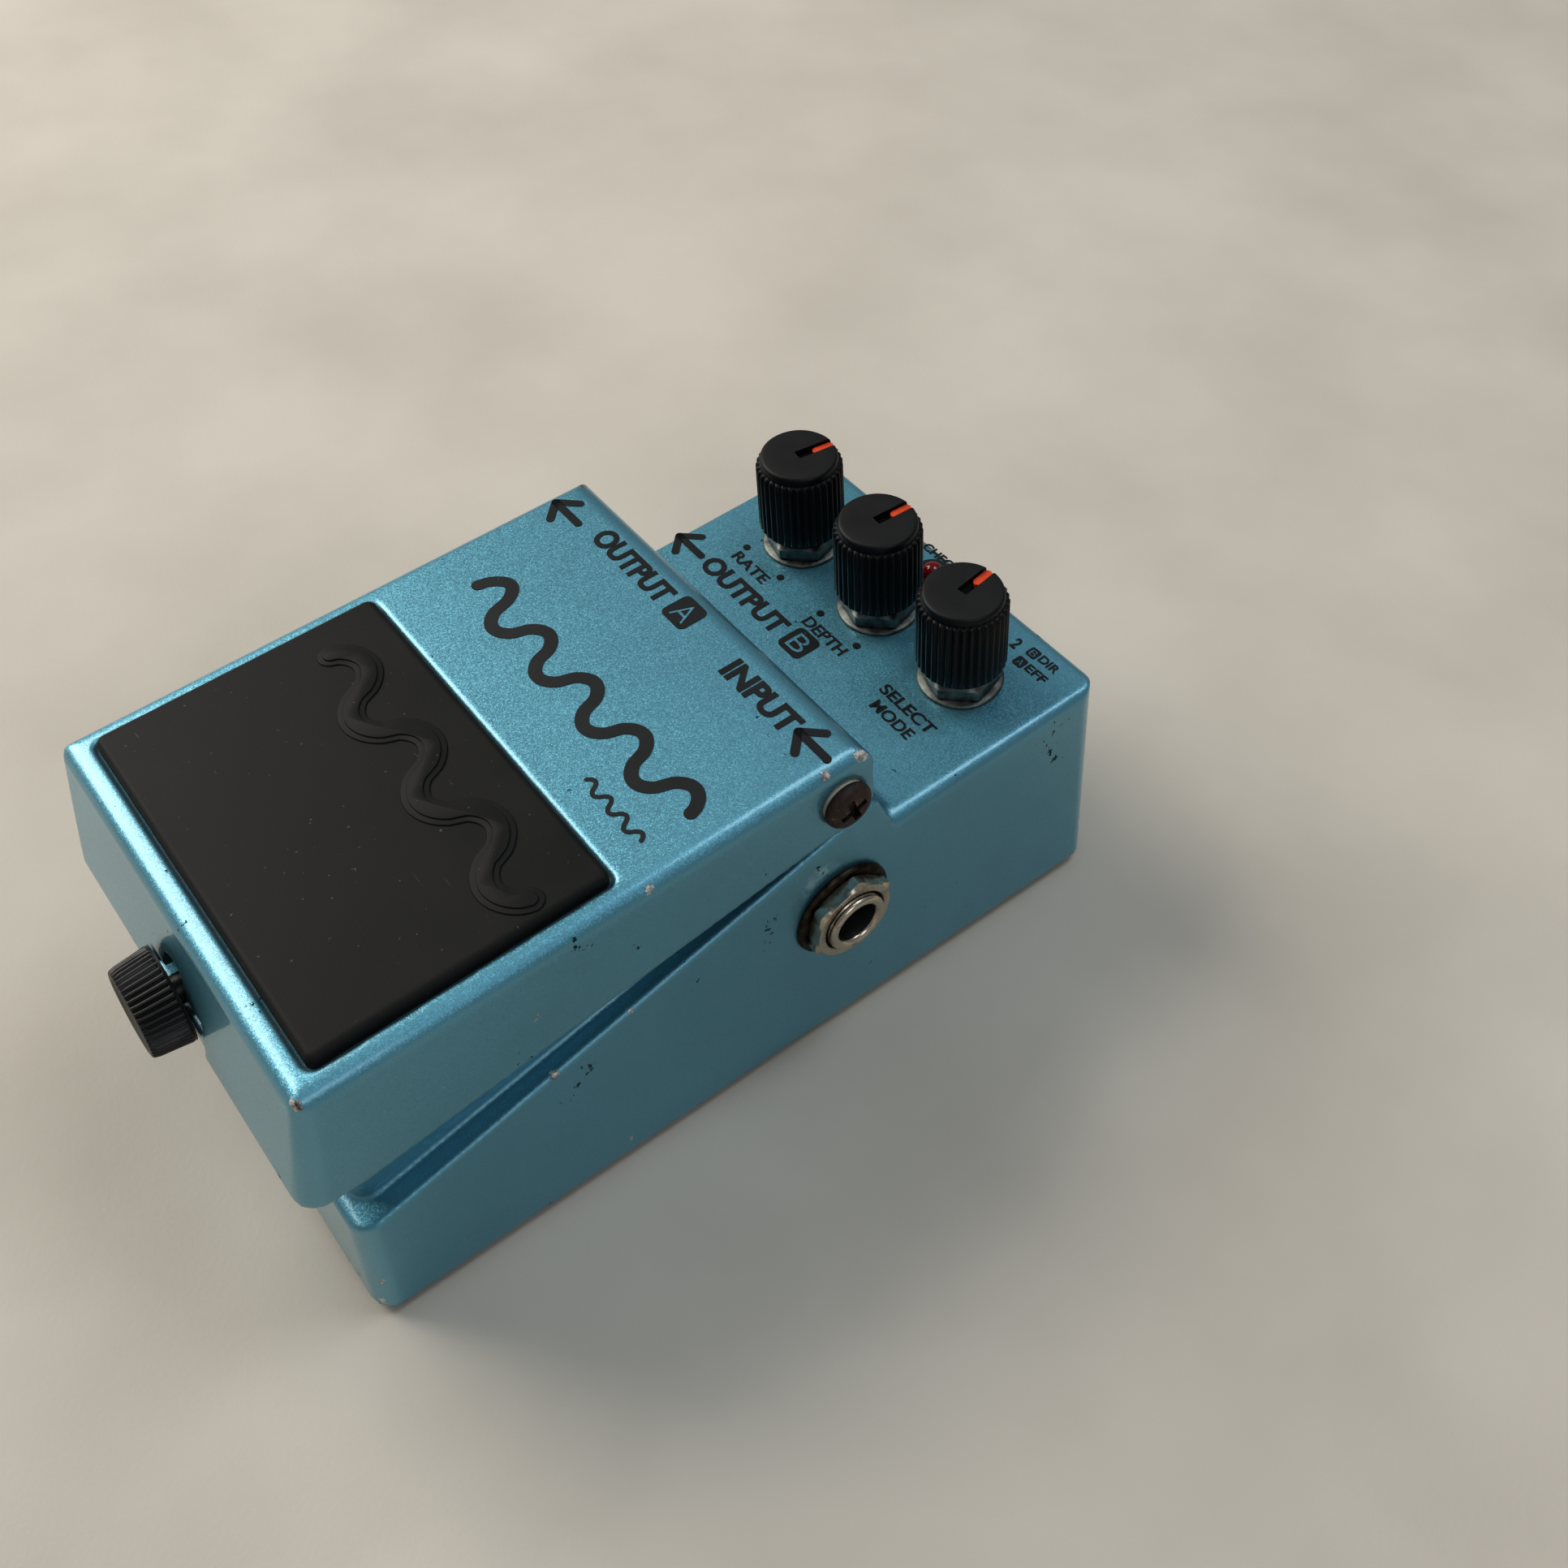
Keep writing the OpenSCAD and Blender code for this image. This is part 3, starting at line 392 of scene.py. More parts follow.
blue_sleeve = plain_finish("blue_pvc_sleeve", "1d335c", "28447a", 0.35, coat=0.3)
brown_dip = plain_finish("dipped_brown_polyester", "6e2a1e", "8e3b2b", 0.3, coat=0.4)
tan_lacquer = plain_finish("tan_resistor_lacquer", "b59766", "cfb383", 0.4)
blue_plastic = plain_finish("blue_trimmer_plastic", "234f93", "2f62ab", 0.4)
grey_ribbon = plain_finish("grey_pvc_ribbon", "7f8286", "96999d", 0.45)
white_nylon = plain_finish("natural_nylon", "bdb9a8", "d8d4c5", 0.5)
wool_felt = plain_finish("pressed_grey_felt", "57564f", "73716a", 0.95, grain_mm=0.25, bump=1.0)
open_foam = plain_finish("open_cell_foam", "45484c", "5c6064", 0.97, grain_mm=0.6, bump=1.0)
fish_paper = plain_finish("black_fish_paper", "2b2c2e", "3c3d40", 0.8, grain_mm=0.3, bump=0.4)
red_sleeve = plain_finish("red_pvc_sleeve", "8e1f18", "ab2c24", 0.4)
black_sleeve = plain_finish("black_pvc_sleeve", "111112", "1d1d1e", 0.4)


def battery_jacket():
    """Lacquered tinplate round a nine-volt battery: grey body and a warm metal band at one end."""
    made, add = start("lacquered_tinplate")
    place = add("TexCoord").outputs["Object"]
    along_it = add("SeparateXYZ", {"Vector": place}).outputs["X"]
    band = add("ValToRGB", {"Fac": add("MapRange", {"Value": along_it, "From Min": 0.0, "From Max": 0.03})},
               stops=[(0.45, "33363c"), (0.47, "b07a45")])
    cloud = add("TexNoise", {"Vector": place, "Scale": per(8), "Detail": 4.0})
    eased = add("Bevel", {"Radius": 0.4 * MM}, samples=4)
    rough = add("MapRange", {"Value": cloud, "To Min": 0.25, "To Max": 0.42})
    shader = add("BsdfPrincipled", {"Base Color": band, "Metallic": 0.7, "Roughness": rough.outputs[0],
                                    "Normal": eased})
    finish_surface(add, shader)
    return made


jacket = battery_jacket()


# ---------------------------------------------------------------- mesh helpers
def piece(name, form, body, material, stands_for=(), flat_shade=False, others=()):
    """Turns a finished bmesh into a piece that rides on a CAD body."""
    mesh = bpy.data.meshes.new(name)
    form.to_mesh(mesh)
    form.free()
    made = bpy.data.objects.new(name, mesh)
    bpy.context.scene.collection.objects.link(made)
    for finish in (material, *others):
        mesh.materials.append(finish)
    if not flat_shade:
        mesh.shade_smooth()
    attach(made, body)
    if stands_for:
        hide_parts(*stands_for)
    return made


def ring(form, points):
    """A closed loop of new vertices."""
    return [form.verts.new(p) for p in points]


def bridge(form, a, b):
    """Quads between two loops with the same count."""
    for i in range(len(a)):
        j = (i + 1) % len(a)
        form.faces.new((a[i], a[j], b[j], b[i]))


def cap(form, low, high):
    """Closes a tube at both ends."""
    form.faces.new(list(reversed(low)))
    form.faces.new(high)


def turned(form, profile, place, count=64, ribs=0, rib_depth=0.0, rib_span=(0, 0), closed=True):
    """A lathe form. profile lists (radius, height) in mm from bottom to top; ribs cut flutes into the
    loops numbered from rib_span[0] to rib_span[1]. A closed one has both its ends filled."""
    loops = []
    for step, (radius, height) in enumerate(profile):
        points = []
        for i in range(count):
            angle = 2 * math.pi * i / count
            r = radius
            if ribs and rib_span[0] <= step <= rib_span[1]:
                r -= rib_depth * (0.5 - 0.5 * math.cos(ribs * angle)) ** 1.4
            points.append(place @ Vector((r * math.cos(angle), r * math.sin(angle), height)))
        loops.append(ring(form, points))
    for a, b in zip(loops, loops[1:]):
        bridge(form, a, b)
    if closed:
        cap(form, loops[0], loops[-1])
    return loops


def frame_at(origin, z_axis, x_axis=X):
    """A matrix in millimetres to metres with its Z along z_axis."""
    z = Vector(z_axis).normalized()
    x = (Vector(x_axis) - z * Vector(x_axis).dot(z)).normalized()
    y = z.cross(x)
    turn = Matrix((x, y, z)).transposed().to_4x4()
    return Matrix.Translation(origin) @ turn @ Matrix.Scale(MM, 4)


def on_panel(x, y):
    """Local frame in mm on the control panel, its Z square to the panel."""
    height = (PANEL_Z + math.tan(PANEL_TILT) * (y - PANEL_Y)) * MM
    normal = Vector((0, -math.sin(PANEL_TILT), math.cos(PANEL_TILT)))
    return frame_at(Vector((x * MM, FRONT + y * MM, height)), normal)


def on_treadle(x, y):
    """Local frame in mm on the treadle top, its Z square to the top."""
    height = (TREAD_Z + math.tan(TREAD_TILT) * (y - TREAD_Y)) * MM
    normal = Vector((0, -math.sin(TREAD_TILT), math.cos(TREAD_TILT)))
    return frame_at(Vector((x * MM, FRONT + y * MM, height)), normal)


def arc_points(centre, radius, a0, a1, steps):
    """Points along an arc, angles in degrees."""
    made = []
    for i in range(steps + 1):
        a = math.radians(a0 + (a1 - a0) * i / steps)
        made.append((centre[0] + radius * math.cos(a), centre[1] + radius * math.sin(a)))
    return made


def rounded_outline(width, length, radius, steps=8):
    """A rectangle with rounded corners, in mm."""
    w, h = width / 2 - radius, length / 2 - radius
    made = []
    for cx, cy, a in ((w, h, 0), (-w, h, 90), (-w, -h, 180), (w, -h, 270)):
        made += arc_points((cx, cy), radius, a, a + 90, steps)
    return made


def carve(target, cutter):
    """Cuts one mesh object out of another and discards the cutter."""
    cut = target.modifiers.new("cut", "BOOLEAN")
    cut.operation = "DIFFERENCE"
    cut.solver = "EXACT"
    cut.object = cutter
    bpy.context.view_layer.update()
    view = bpy.context.evaluated_depsgraph_get()
    done = bpy.data.meshes.new_from_object(target.evaluated_get(view))
    target.modifiers.clear()
    old = target.data
    target.data = done
    bpy.data.meshes.remove(old)
    bpy.data.objects.remove(cutter)


def block(size, place):
    """A cutter: a plain block in mm, placed by a matrix."""
    form = bmesh.new()
    bmesh.ops.create_cube(form, size=1.0)
    bmesh.ops.scale(form, vec=Vector(size), verts=form.verts)
    form.transform(place)
    mesh = bpy.data.meshes.new("cutter")
    form.to_mesh(mesh)
    form.free()
    made = bpy.data.objects.new("cutter", mesh)
    bpy.context.scene.collection.objects.link(made)
    return made


def soften(target, angle_deg=35):
    """Smooth shading with hard edges kept above the angle."""
    mesh = target.data
    mesh.shade_smooth()
    mesh.set_sharp_from_angle(angle=math.radians(angle_deg))


# ---------------------------------------------------------------- castings
def casting(name, node, body, voxel_mm, passes):
    """A casting made from the CAD form: rebuilt as an even fine mesh, then its edges and corners are
    eased, as die casting and a thick coat of paint leave them."""
    form = bmesh.new()
    form.from_mesh(nodes[node].data)
    made = piece(name, form, body, lacquer, [node])
    remesh = made.modifiers.new("even_mesh", "REMESH")
    remesh.mode = "VOXEL"
    remesh.voxel_size = voxel_mm * MM
    remesh.use_smooth_shade = True
    ease = made.modifiers.new("eased_edges", "SMOOTH")
    ease.factor = 0.5
    ease.iterations = passes
    return made


casting("case_casting", "chassis", "case", 0.33, 3)
casting("treadle_casting", "treadle", "treadle", 0.32, 4)


# ---------------------------------------------------------------- rubber foot pad
def pad_frame():
    """Local frame in mm at the middle of the pad's seat on the treadle."""
    return on_treadle(0, PAD_Y + PAD_LENGTH / 2)


def foot_pad():
    """The moulded pad: a flat top with soft rolled edges."""
    form = bmesh.new()
    place = pad_frame()
    levels = [(0.0, -PAD_SUNK), (0.0, PAD_RISE - PAD_ROLL)]
    for i in range(1, 7):
        a = math.radians(15 * i)
        levels.append((PAD_ROLL * (1 - math.cos(a)), PAD_RISE - PAD_ROLL + PAD_ROLL * math.sin(a)))
    loops = []
    for inset, height in levels:
        outline = rounded_outline(PAD_WIDTH - 2 * inset, PAD_LENGTH - 2 * inset, PAD_CORNER - inset * 0.6)
        loops.append(ring(form, [place @ Vector((x, y, height)) for x, y in outline]))
    for a, b in zip(loops, loops[1:]):
        bridge(form, a, b)
    cap(form, loops[0], loops[-1])
    made = piece("foot_pad", form, "treadle", rubber, ["treadle_pad"])
    soften(made, 50)
    return made


def wave_line(x0, x1, height, humps, steps=20, power=1.0):
    """Centre line of a wave in mm, starting upwards."""
    count = humps * steps
    made = []
    for i in range(count + 1):
        t = i / count
        swing = math.sin(math.pi * humps * t)
        made.append((x0 + (x1 - x0) * t, height / 2 * math.copysign(abs(swing) ** power, swing)))
    return made


def layer(form, outline, low, high, place):
    """A filled outline in mm, raised from low to high."""
    bottom = ring(form, [place @ Vector((x, y, low)) for x, y in outline])
    top = ring(form, [place @ Vector((x, y, high)) for x, y in outline])
    bridge(form, bottom, top)
    cap(form, bottom, top)


def ribbon(form, line, width, low, high, place):
    """A raised band of even width along a line in mm, with round ends."""
    count = len(line)
    left, right = [], []
    for i, (x, y) in enumerate(line):
        ax, ay = line[max(i - 1, 0)]
        bx, by = line[min(i + 1, count - 1)]
        d = Vector((bx - ax, by - ay)).normalized()
        left.append((x - d.y * width / 2, y + d.x * width / 2))
        right.append((x + d.y * width / 2, y - d.x * width / 2))
    ends = []
    for end, inner in ((-1, -2), (0, 1)):
        ax, ay = line[end]
        bx, by = line[inner]
        heading = math.degrees(math.atan2(ay - by, ax - bx))
        ends.append(arc_points((ax, ay), width / 2, heading - 90, heading + 90, 8)[1:-1])
    outline = right + ends[0] + list(reversed(left)) + ends[1]
    layer(form, outline, low, high, place)


def pad_emblem():
    """A plain wave standing proud of the pad in two steps, a broad one and a narrow one on it."""
    form = bmesh.new()
    place = pad_frame() @ Matrix.Translation((2.0, 10.6, PAD_RISE))
    line = wave_line(-25.5, 25.5, 6.2, 6, power=0.62)
    ribbon(form, line, 3.7, -0.3, 0.2, place)
    ribbon(form, line, 2.1, 0.0, 0.42, place)
    made = piece("pad_emblem", form, "treadle", rubber)
    soft = made.modifiers.new("moulded_edge", "BEVEL")
    soft.width = 0.12 * MM
    soft.segments = 2
    return made


foot_pad()
pad_emblem()


# ---------------------------------------------------------------- knobs, nuts and shafts
def knob_frame(number):
    """Local frame in mm at the foot of a knob, turned as its pointer is."""
    turn = Matrix.Rotation(POINTER_TURN[number], 4, "Z")
    return on_panel(KNOB_X[number], KNOB_Y) @ Matrix.Translation((0, 0, KNOB_GAP)) @ turn


def knob(number):
    """A fluted knob: ribbed skirt, smooth cap with a turned edge, and a slot for the pointer."""
    place = on_panel(KNOB_X[number], KNOB_Y) @ Matrix.Translation((0, 0, KNOB_GAP))
    r = KNOB_R / MM
    form = bmesh.new()
    profile = [(4.6, 0.1), (4.6, 0.0), (r - 0.62, 0.02), (r - 0.3, 0.25), (r, 0.6), (r - 0.02, 4),
               (r - 0.04, 8), (r - 0.06, 12.0), (r - 0.32, 12.35), (r - 0.75, 12.45), (r - 0.78, 12.6),
               (r - 0.72, 12.75), (r - 0.74, 13.3), (r - 0.86, 13.66), (r - 1.08, 13.88), (r - 1.4, 13.96),
               (r - 3.4, 13.9), (r - 5.4, 13.86)]
    turned(form, profile, place, 288, ribs=36, rib_depth=0.42, rib_span=(4, 8))
    for face in form.faces:
        if (place.inverted() @ face.calc_center_median()).z > KNOB_TOP:
            face.material_index = 1
    made = piece(f"fluted_knob_{number}", form, f"knob_{number}", knob_plastic,
                 [f"knob_{number}"], others=(knob_top_plastic,))
    slot = Matrix.Translation((0, (r + 1.2) / 2 - 0.3, 14.1))
    carve(made, block((1.7, r + 1.2, 3.0), knob_frame(number) @ slot))
    soften(made, 38)
    return made


def pointer(number):
    """The orange filling of the slot's outer half, rounded at both ends."""
    form = bmesh.new()
    r = KNOB_R / MM
    outline = arc_points((0, 3.1), 0.68, 180, 360, 10) + arc_points((0, r - 1.5), 0.68, 0, 180, 10)
    layer(form, outline, 12.45, 13.4, knob_frame(number))
    made = piece(f"pointer_mark_{number}", form, f"knob_{number}", pointer_paint,
                 [f"knob_pointer_{number}"])
    soften(made, 30)
    return made


def hex_nut(name, places, across_corners, height, bore, material, turn_deg, stands_for):
    """Hexagon nuts with their corners chamfered top and bottom, and a countersunk thread."""
    form = bmesh.new()
    count = 96
    for place in places:
        loops = []
        apothem = across_corners / 2 * math.cos(math.pi / 6)
        levels = [(0.0, 0.55), (0.28, 0.0), (height - 0.45, 0.0), (height, 0.85)]
        for z, cut in levels:
            points = []
            for i in range(count):
                a = 2 * math.pi * i / count
                wedge = (a + math.radians(turn_deg)) % (math.pi / 3) - math.pi / 6
                r = min(apothem / math.cos(wedge), across_corners / 2 * 0.985 - cut)
                points.append(place @ Vector((r * math.cos(a), r * math.sin(a), z)))
            loops.append(ring(form, points))
        for radius, z in ((bore + 0.35, height), (bore, height - 0.35), (bore, 0.3), (bore + 0.3, 0.0)):
            loops.append(ring(form, [place @ Vector((radius * math.cos(2 * math.pi * i / count),
                                                     radius * math.sin(2 * math.pi * i / count), z))
                                     for i in range(count)]))
        for a, b in zip(loops, loops[1:] + loops[:1]):
            bridge(form, a, b)
    bmesh.ops.recalc_face_normals(form, faces=form.faces)
    made = piece(name, form, "case", material, stands_for)
    soften(made, 24)
    return made


def side_frame(side, y):
    """Local frame in mm of a jack, its Z out through the side wall."""
    return frame_at(Vector((0, FRONT + y * MM, JACK_Z * MM)), (side, 0, 0), (0, 0, -side))


def jack_bushing(side, y, node):
    """The threaded bush of a jack socket, with its rolled lip and plain bore."""
    place = side_frame(side, y)
    form = bmesh.new()
    thread = []
    height = 34.0
    while height < 36.6:
        thread += [(4.72, height), (4.5, height + 0.25)]
        height += 0.5
    outer = [(4.75, 31.0), (4.75, 33.6)] + thread
    outer += [(4.55, 36.75), (4.72, 37.0), (4.66, 37.3), (4.4, 37.52), (4.1, 37.58), (3.7, 37.5),
              (3.42, 37.3), (3.26, 37.0), (3.26, 31.0)]
    loops = turned(form, outer, place, 72, closed=False)
    bridge(form, loops[-1], loops[0])
    back = place.inverted()
    for face in form.faces:
        centre = back @ face.calc_center_median()
        if math.hypot(centre.x, centre.y) < 3.3:
            face.material_index = 1
    bmesh.ops.recalc_face_normals(form, faces=form.faces)
    made = piece(node.replace("bushing", "bush"), form, "case", nickel, [node],
                 others=(black_case,))
    soften(made, 40)
    return made


def washers(name, places, outer, inner, low, thick, material, stands_for):
    """Thin pressed washers with a rolled outer edge; the sizes are radii, start and thickness."""
    form = bmesh.new()
    for place in places:
        profile = [(inner, low), (outer - 0.15, low), (outer, low + 0.15), (outer - 0.05, low + thick * 0.6),
                   (outer - 0.3, low + thick), (inner, low + thick)]
        loops = turned(form, profile, place, 72, closed=False)
        bridge(form, loops[-1], loops[0])
    bmesh.ops.recalc_face_normals(form, faces=form.faces)
    made = piece(name, form, "case", material, stands_for)
    soften(made, 40)
    return made


for number in KNOB_X:
    knob(number)
    pointer(number)
hex_nut("jack_hex_nuts", [side_frame(s, y) @ Matrix.Translation((0, 0, 34.4)) for s, y, n in JACKS],
        14.4, 2.2, 4.8, nickel, 8, ["jack_nuts"])
hex_nut("pot_hex_nuts", [on_panel(x, KNOB_Y) @ Matrix.Translation((0, 0, 0.56)) for x in KNOB_X.values()],
        12.2, 2.4, 3.55, pot_nickel, 15, ["pot_nuts"])
for side, y, node in JACKS:
    jack_bushing(side, y, node)
washers("jack_plate_washers", [side_frame(s, y) for s, y, n in JACKS], 7.85, 4.86, 33.66, 0.66,
        dull_washer, ["jack_washers"])
washers("pot_plate_washers", [on_panel(x, KNOB_Y) for x in KNOB_X.values()], 6.45, 3.56, 0.04, 0.48,
        pot_washer, ["pot_washers"])


# ---------------------------------------------------------------- thumbscrew, hinge screws, lamp
def thumb_head():
    """The thumbscrew: a knurled head, narrower at the front, with a dished matt face, and its shaft."""
    place = frame_at(Vector((0, FRONT + THUMB_Y * MM, THUMB_Z * MM)), (0, 1, 0), X)
    form = bmesh.new()
    profile = [(1.0, 0.42), (3.4, 0.34), (4.6, 0.2), (5.0, 0.06), (5.45, 0.0), (5.9, 0.1), (6.1, 0.3),
               (6.3, 1.0), (6.55, 3.3), (6.75, 5.0), (6.72, 5.2), (6.6, 5.35), (6.75, 5.45), (6.7, 5.58),
               (2.0, 5.58), (2.0, 18.1), (1.7, 18.4)]
    turned(form, profile, place, 352, ribs=44, rib_depth=0.42, rib_span=(6, 9))
    back = place.inverted()
    for face in form.faces:
        centre = back @ face.calc_center_median()
        if centre.z < 0.5 and math.hypot(centre.x, centre.y) < 5.2:
            face.material_index = 1
    bmesh.ops.recalc_face_normals(form, faces=form.faces)
    made = piece("knurled_thumbscrew", form, "thumbscrew", thumb_plastic, ["thumbscrew"],
                 others=(thumb_face,))
    soften(made, 40)
    return made


def hinge_screw(side, name):
    """A pan-head screw with a cross recess, standing on the treadle's side."""
    place = frame_at(Vector((0, FRONT + HINGE_Y * MM, HINGE_Z * MM)), (side, 0, 0), (0, 0, -side))
    form = bmesh.new()
    profile = [(1.6, 21.2), (2.0, 21.6), (2.0, 34.5), (3.5, 34.5), (3.6, 34.7), (3.6, 35.1), (3.48, 35.5),
               (3.15, 35.88), (2.6, 36.15), (1.9, 36.3), (1.1, 36.38), (0.4, 36.4)]
    turned(form, profile, place, 64)
    made = piece(name, form, "case", rust)
    for turn in (20, 110):
        slot = place @ Matrix.Rotation(math.radians(turn), 4, "Z") @ Matrix.Translation((0, 0, 36.4))
        carve(made, block((4.2, 1.1, 2.3), slot))
    soften(made, 35)
    return made


def lamp():
    """The domed indicator lamp, with the flange at its foot."""
    place = on_panel(0, LAMP_Y)
    form = bmesh.new()
    dome = [(x, 0.2 + z) for x, z in arc_points((0, 0), 1.8, 0, 80, 8)]
    turned(form, [(2.1, -5.2), (2.1, -4.6), (1.8, -4.5)] + dome + [(0.1, 2.0)], place, 40)
    made = piece("lamp_lens", form, "case", resin, ["led"])
    soften(made, 40)
    return made


thumb_head()
screw = hinge_screw(1, "hinge_screw_right")
hinge_screw(-1, "hinge_screw_left")
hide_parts("hinge_screws")
lamp()


# ---------------------------------------------------------------- spring and leads
def wire(form, middles, radius):
    """A round wire. middles lists its centre and the two directions across it, end to end."""
    loops = []
    for middle, across, up in middles:
        points = []
        for k in range(WIRE_SIDES):
            b = 2 * math.pi * k / WIRE_SIDES
            points.append(middle + (across * math.cos(b) + up * math.sin(b)) * radius)
        loops.append(ring(form, points))
    for a, b in zip(loops, loops[1:]):
        bridge(form, a, b)
    cap(form, loops[0], loops[-1])
    bmesh.ops.recalc_face_normals(form, faces=form.faces)


def return_spring():
    """A compression spring with closed ends."""
    low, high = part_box("return_spring")
    centre = (low + high) / 2
    wire_r, coil_r = 0.6 * MM, 4.95 * MM
    per_turn = 28
    turns, closed_turns = 6.4, 1.0
    span = (high.z - low.z) - 2 * wire_r
    middles = []
    for i in range(int(turns * per_turn) + 1):
        t = i / per_turn
        live = min(max((t - closed_turns) / (turns - 2 * closed_turns), 0), 1)
        ends = 2 * wire_r * (min(t, closed_turns) + max(t - turns + closed_turns, 0))
        height = low.z + wire_r + ends + live * (span - 4 * wire_r * closed_turns)
        a = 2 * math.pi * t
        out = Vector((math.cos(a), math.sin(a), 0))
        middles.append((Vector((centre.x, centre.y, 0)) + out * coil_r + Z * height, out, Z))
    form = bmesh.new()
    wire(form, middles, wire_r)
    made = piece("coil_spring", form, "hinge_bushes", spring_steel, ["return_spring"])
    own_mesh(made)
    return made


def lead(name, offset, material):
    """One of the battery's leads: thin sleeved wire, led from the snap down to the main board. The
    offset is 1 or -1 and sets the two leads apart, less so further from the snap."""
    marks = [(-24.3, 42 + 2 * offset, 33), (-25.3, 42 + 1.5 * offset, 30.4), (-25.6, 42 + 0.8 * offset, 27),
             (-25.6, 42 + 0.8 * offset, 18), (-25.2, 42 + 0.8 * offset, 13.4),
             (-23.4, 42 + 0.8 * offset, 11), (-21.3, 42 + 0.8 * offset, 9.95)]
    spots = [Vector((x * MM, FRONT + y * MM, z * MM)) for x, y, z in marks]
    # a smooth curve through the marks, six steps from each to the next
    path = []
    for i in range(len(spots) - 1):
        before, a, b, after = spots[max(i - 1, 0)], spots[i], spots[i + 1], spots[min(i + 2, len(spots) - 1)]
        for step in range(6):
            t = step / 6
            path.append(0.5 * ((2 * a) + (b - before) * t + (2 * before - 5 * a + 4 * b - after) * t ** 2
                               + (3 * a - before - 3 * b + after) * t ** 3))
    path.append(spots[-1])
    middles = []
    for i, middle in enumerate(path):
        heading = (path[min(i + 1, len(path) - 1)] - path[max(i - 1, 0)]).normalized()
        across = heading.cross(Y).normalized()
        middles.append((middle, across, across.cross(heading)))
    form = bmesh.new()
    wire(form, middles, LEAD_R * MM)
    made = piece(name, form, "case", material)
    soften(made, 60)
    return made


return_spring()
red_lead = lead("battery_lead_red", 1, red_sleeve)
lead("battery_lead_black", -1, black_sleeve)
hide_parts("battery_leads")


# ---------------------------------------------------------------- printed markings
def stamp(name, form, body):
    """A layer of ink: a thin mesh just above the paint."""
    return piece(name, form, body, ink, flat_shade=True)


# The ink layer starts just inside the paint, so that no gap shows under it
INK_LIFT = -0.05
INK_THICK = 0.14


def text_mesh(words, bold, deep):
    """A word as a solid mesh in mm, lying flat about its own middle."""
    curve = bpy.data.curves.new("word", "FONT")
    curve.body = words
    curve.align_x = "CENTER"
    curve.align_y = "CENTER"
    curve.size = 5.0
    curve.offset = bold
    curve.extrude = deep / 2
    temp = bpy.data.objects.new("word", curve)
    bpy.context.scene.collection.objects.link(temp)
    bpy.context.view_layer.update()
    mesh = bpy.data.meshes.new_from_object(temp.evaluated_get(bpy.context.evaluated_depsgraph_get()))
    bpy.data.objects.remove(temp)
    spots = [v.co for v in mesh.vertices]
    low = Vector([min(p[i] for p in spots) for i in range(3)])
    high = Vector([max(p[i] for p in spots) for i in range(3)])
    mesh.transform(Matrix.Translation(-(low + high) / 2))
    return mesh, high - low


def letters(name, words, left, right, middle, height, body, surface, bold=0.2):
    """A word as a thin ink layer: left and right are its ends, middle its centre line and height the
    height of its capitals, in mm on the surface."""
    mesh, size = text_mesh(words, bold, INK_THICK)
    form = bmesh.new()
    form.from_mesh(mesh)
    bpy.data.meshes.remove(mesh)
    fit = Matrix.Diagonal(((right - left) / size.x, height / size.y, 1, 1))
    place = surface((left + right) / 2, middle)
    form.transform(place @ Matrix.Translation((0, 0, INK_LIFT + INK_THICK / 2)) @ fit)
    return stamp(name, form, body)


def slabs(form, outline, place):
    """A filled outline as a thin layer of ink."""
    layer(form, outline, INK_LIFT, INK_LIFT + INK_THICK, place)


def arrow(name, body, place, length=6.0, heavy=1.25):
    """An arrow pointing along -X with round ends."""
    form = bmesh.new()
    half = length / 2
    lift = (INK_LIFT, INK_LIFT + INK_THICK)
    ribbon(form, [(-half, 0), (0, 0), (half, 0)], heavy, *lift, place)
    for side in (1, -1):
        reach = half * 0.86
        ribbon(form, [(-half, 0), (-half + reach / 2, side * reach / 2), (-half + reach, side * reach)],
               heavy, *lift, place)
    return stamp(name, form, body)


def boxed_letter(name, letter, body, place, size=5.0):
    """A rounded ink block with the letter left open in it."""
    form = bmesh.new()
    slabs(form, rounded_outline(size, size, size * 0.2), place)
    made = stamp(name, form, body)
    mesh, extent = text_mesh(letter, 0.0, 1.0)
    mesh.transform(place @ Matrix.Diagonal((size * 0.62 / extent.x, size * 0.66 / extent.y, 1, 1)))
    cutter = bpy.data.objects.new(name + "_cut", mesh)
    bpy.context.scene.collection.objects.link(cutter)
    carve(made, cutter)
    return made


def title_wave():
    """The large print on the treadle: a plain heavy wave, taller at its start, and a small thin one."""
    form = bmesh.new()
    place = on_treadle(2.0, 55.8)
    line = [(x, y * (1.35 if x < -20 else 1.0)) for x, y in wave_line(-26.0, 26.0, 5.4, 9, power=0.6)]
    ribbon(form, line, 1.9, INK_LIFT, INK_LIFT + INK_THICK, place)
    small = on_treadle(21.4, 48.6)
    ribbon(form, wave_line(-6.2, 6.2, 1.5, 7, power=0.8), 0.6, INK_LIFT, INK_LIFT + INK_THICK, small)
    return stamp("printed_wave", form, "treadle")


def knob_dots():
    """The end marks of the first two knobs' sweep."""
    form = bmesh.new()
    outline = arc_points((0, 0), 0.62, 0, 345, 23)
    for number in (1, 2):
        for side in (-1, 1):
            slabs(form, outline, on_panel(KNOB_X[number] + side * 4.4, 101.9))
    return stamp("print_sweep_dots", form, "case")


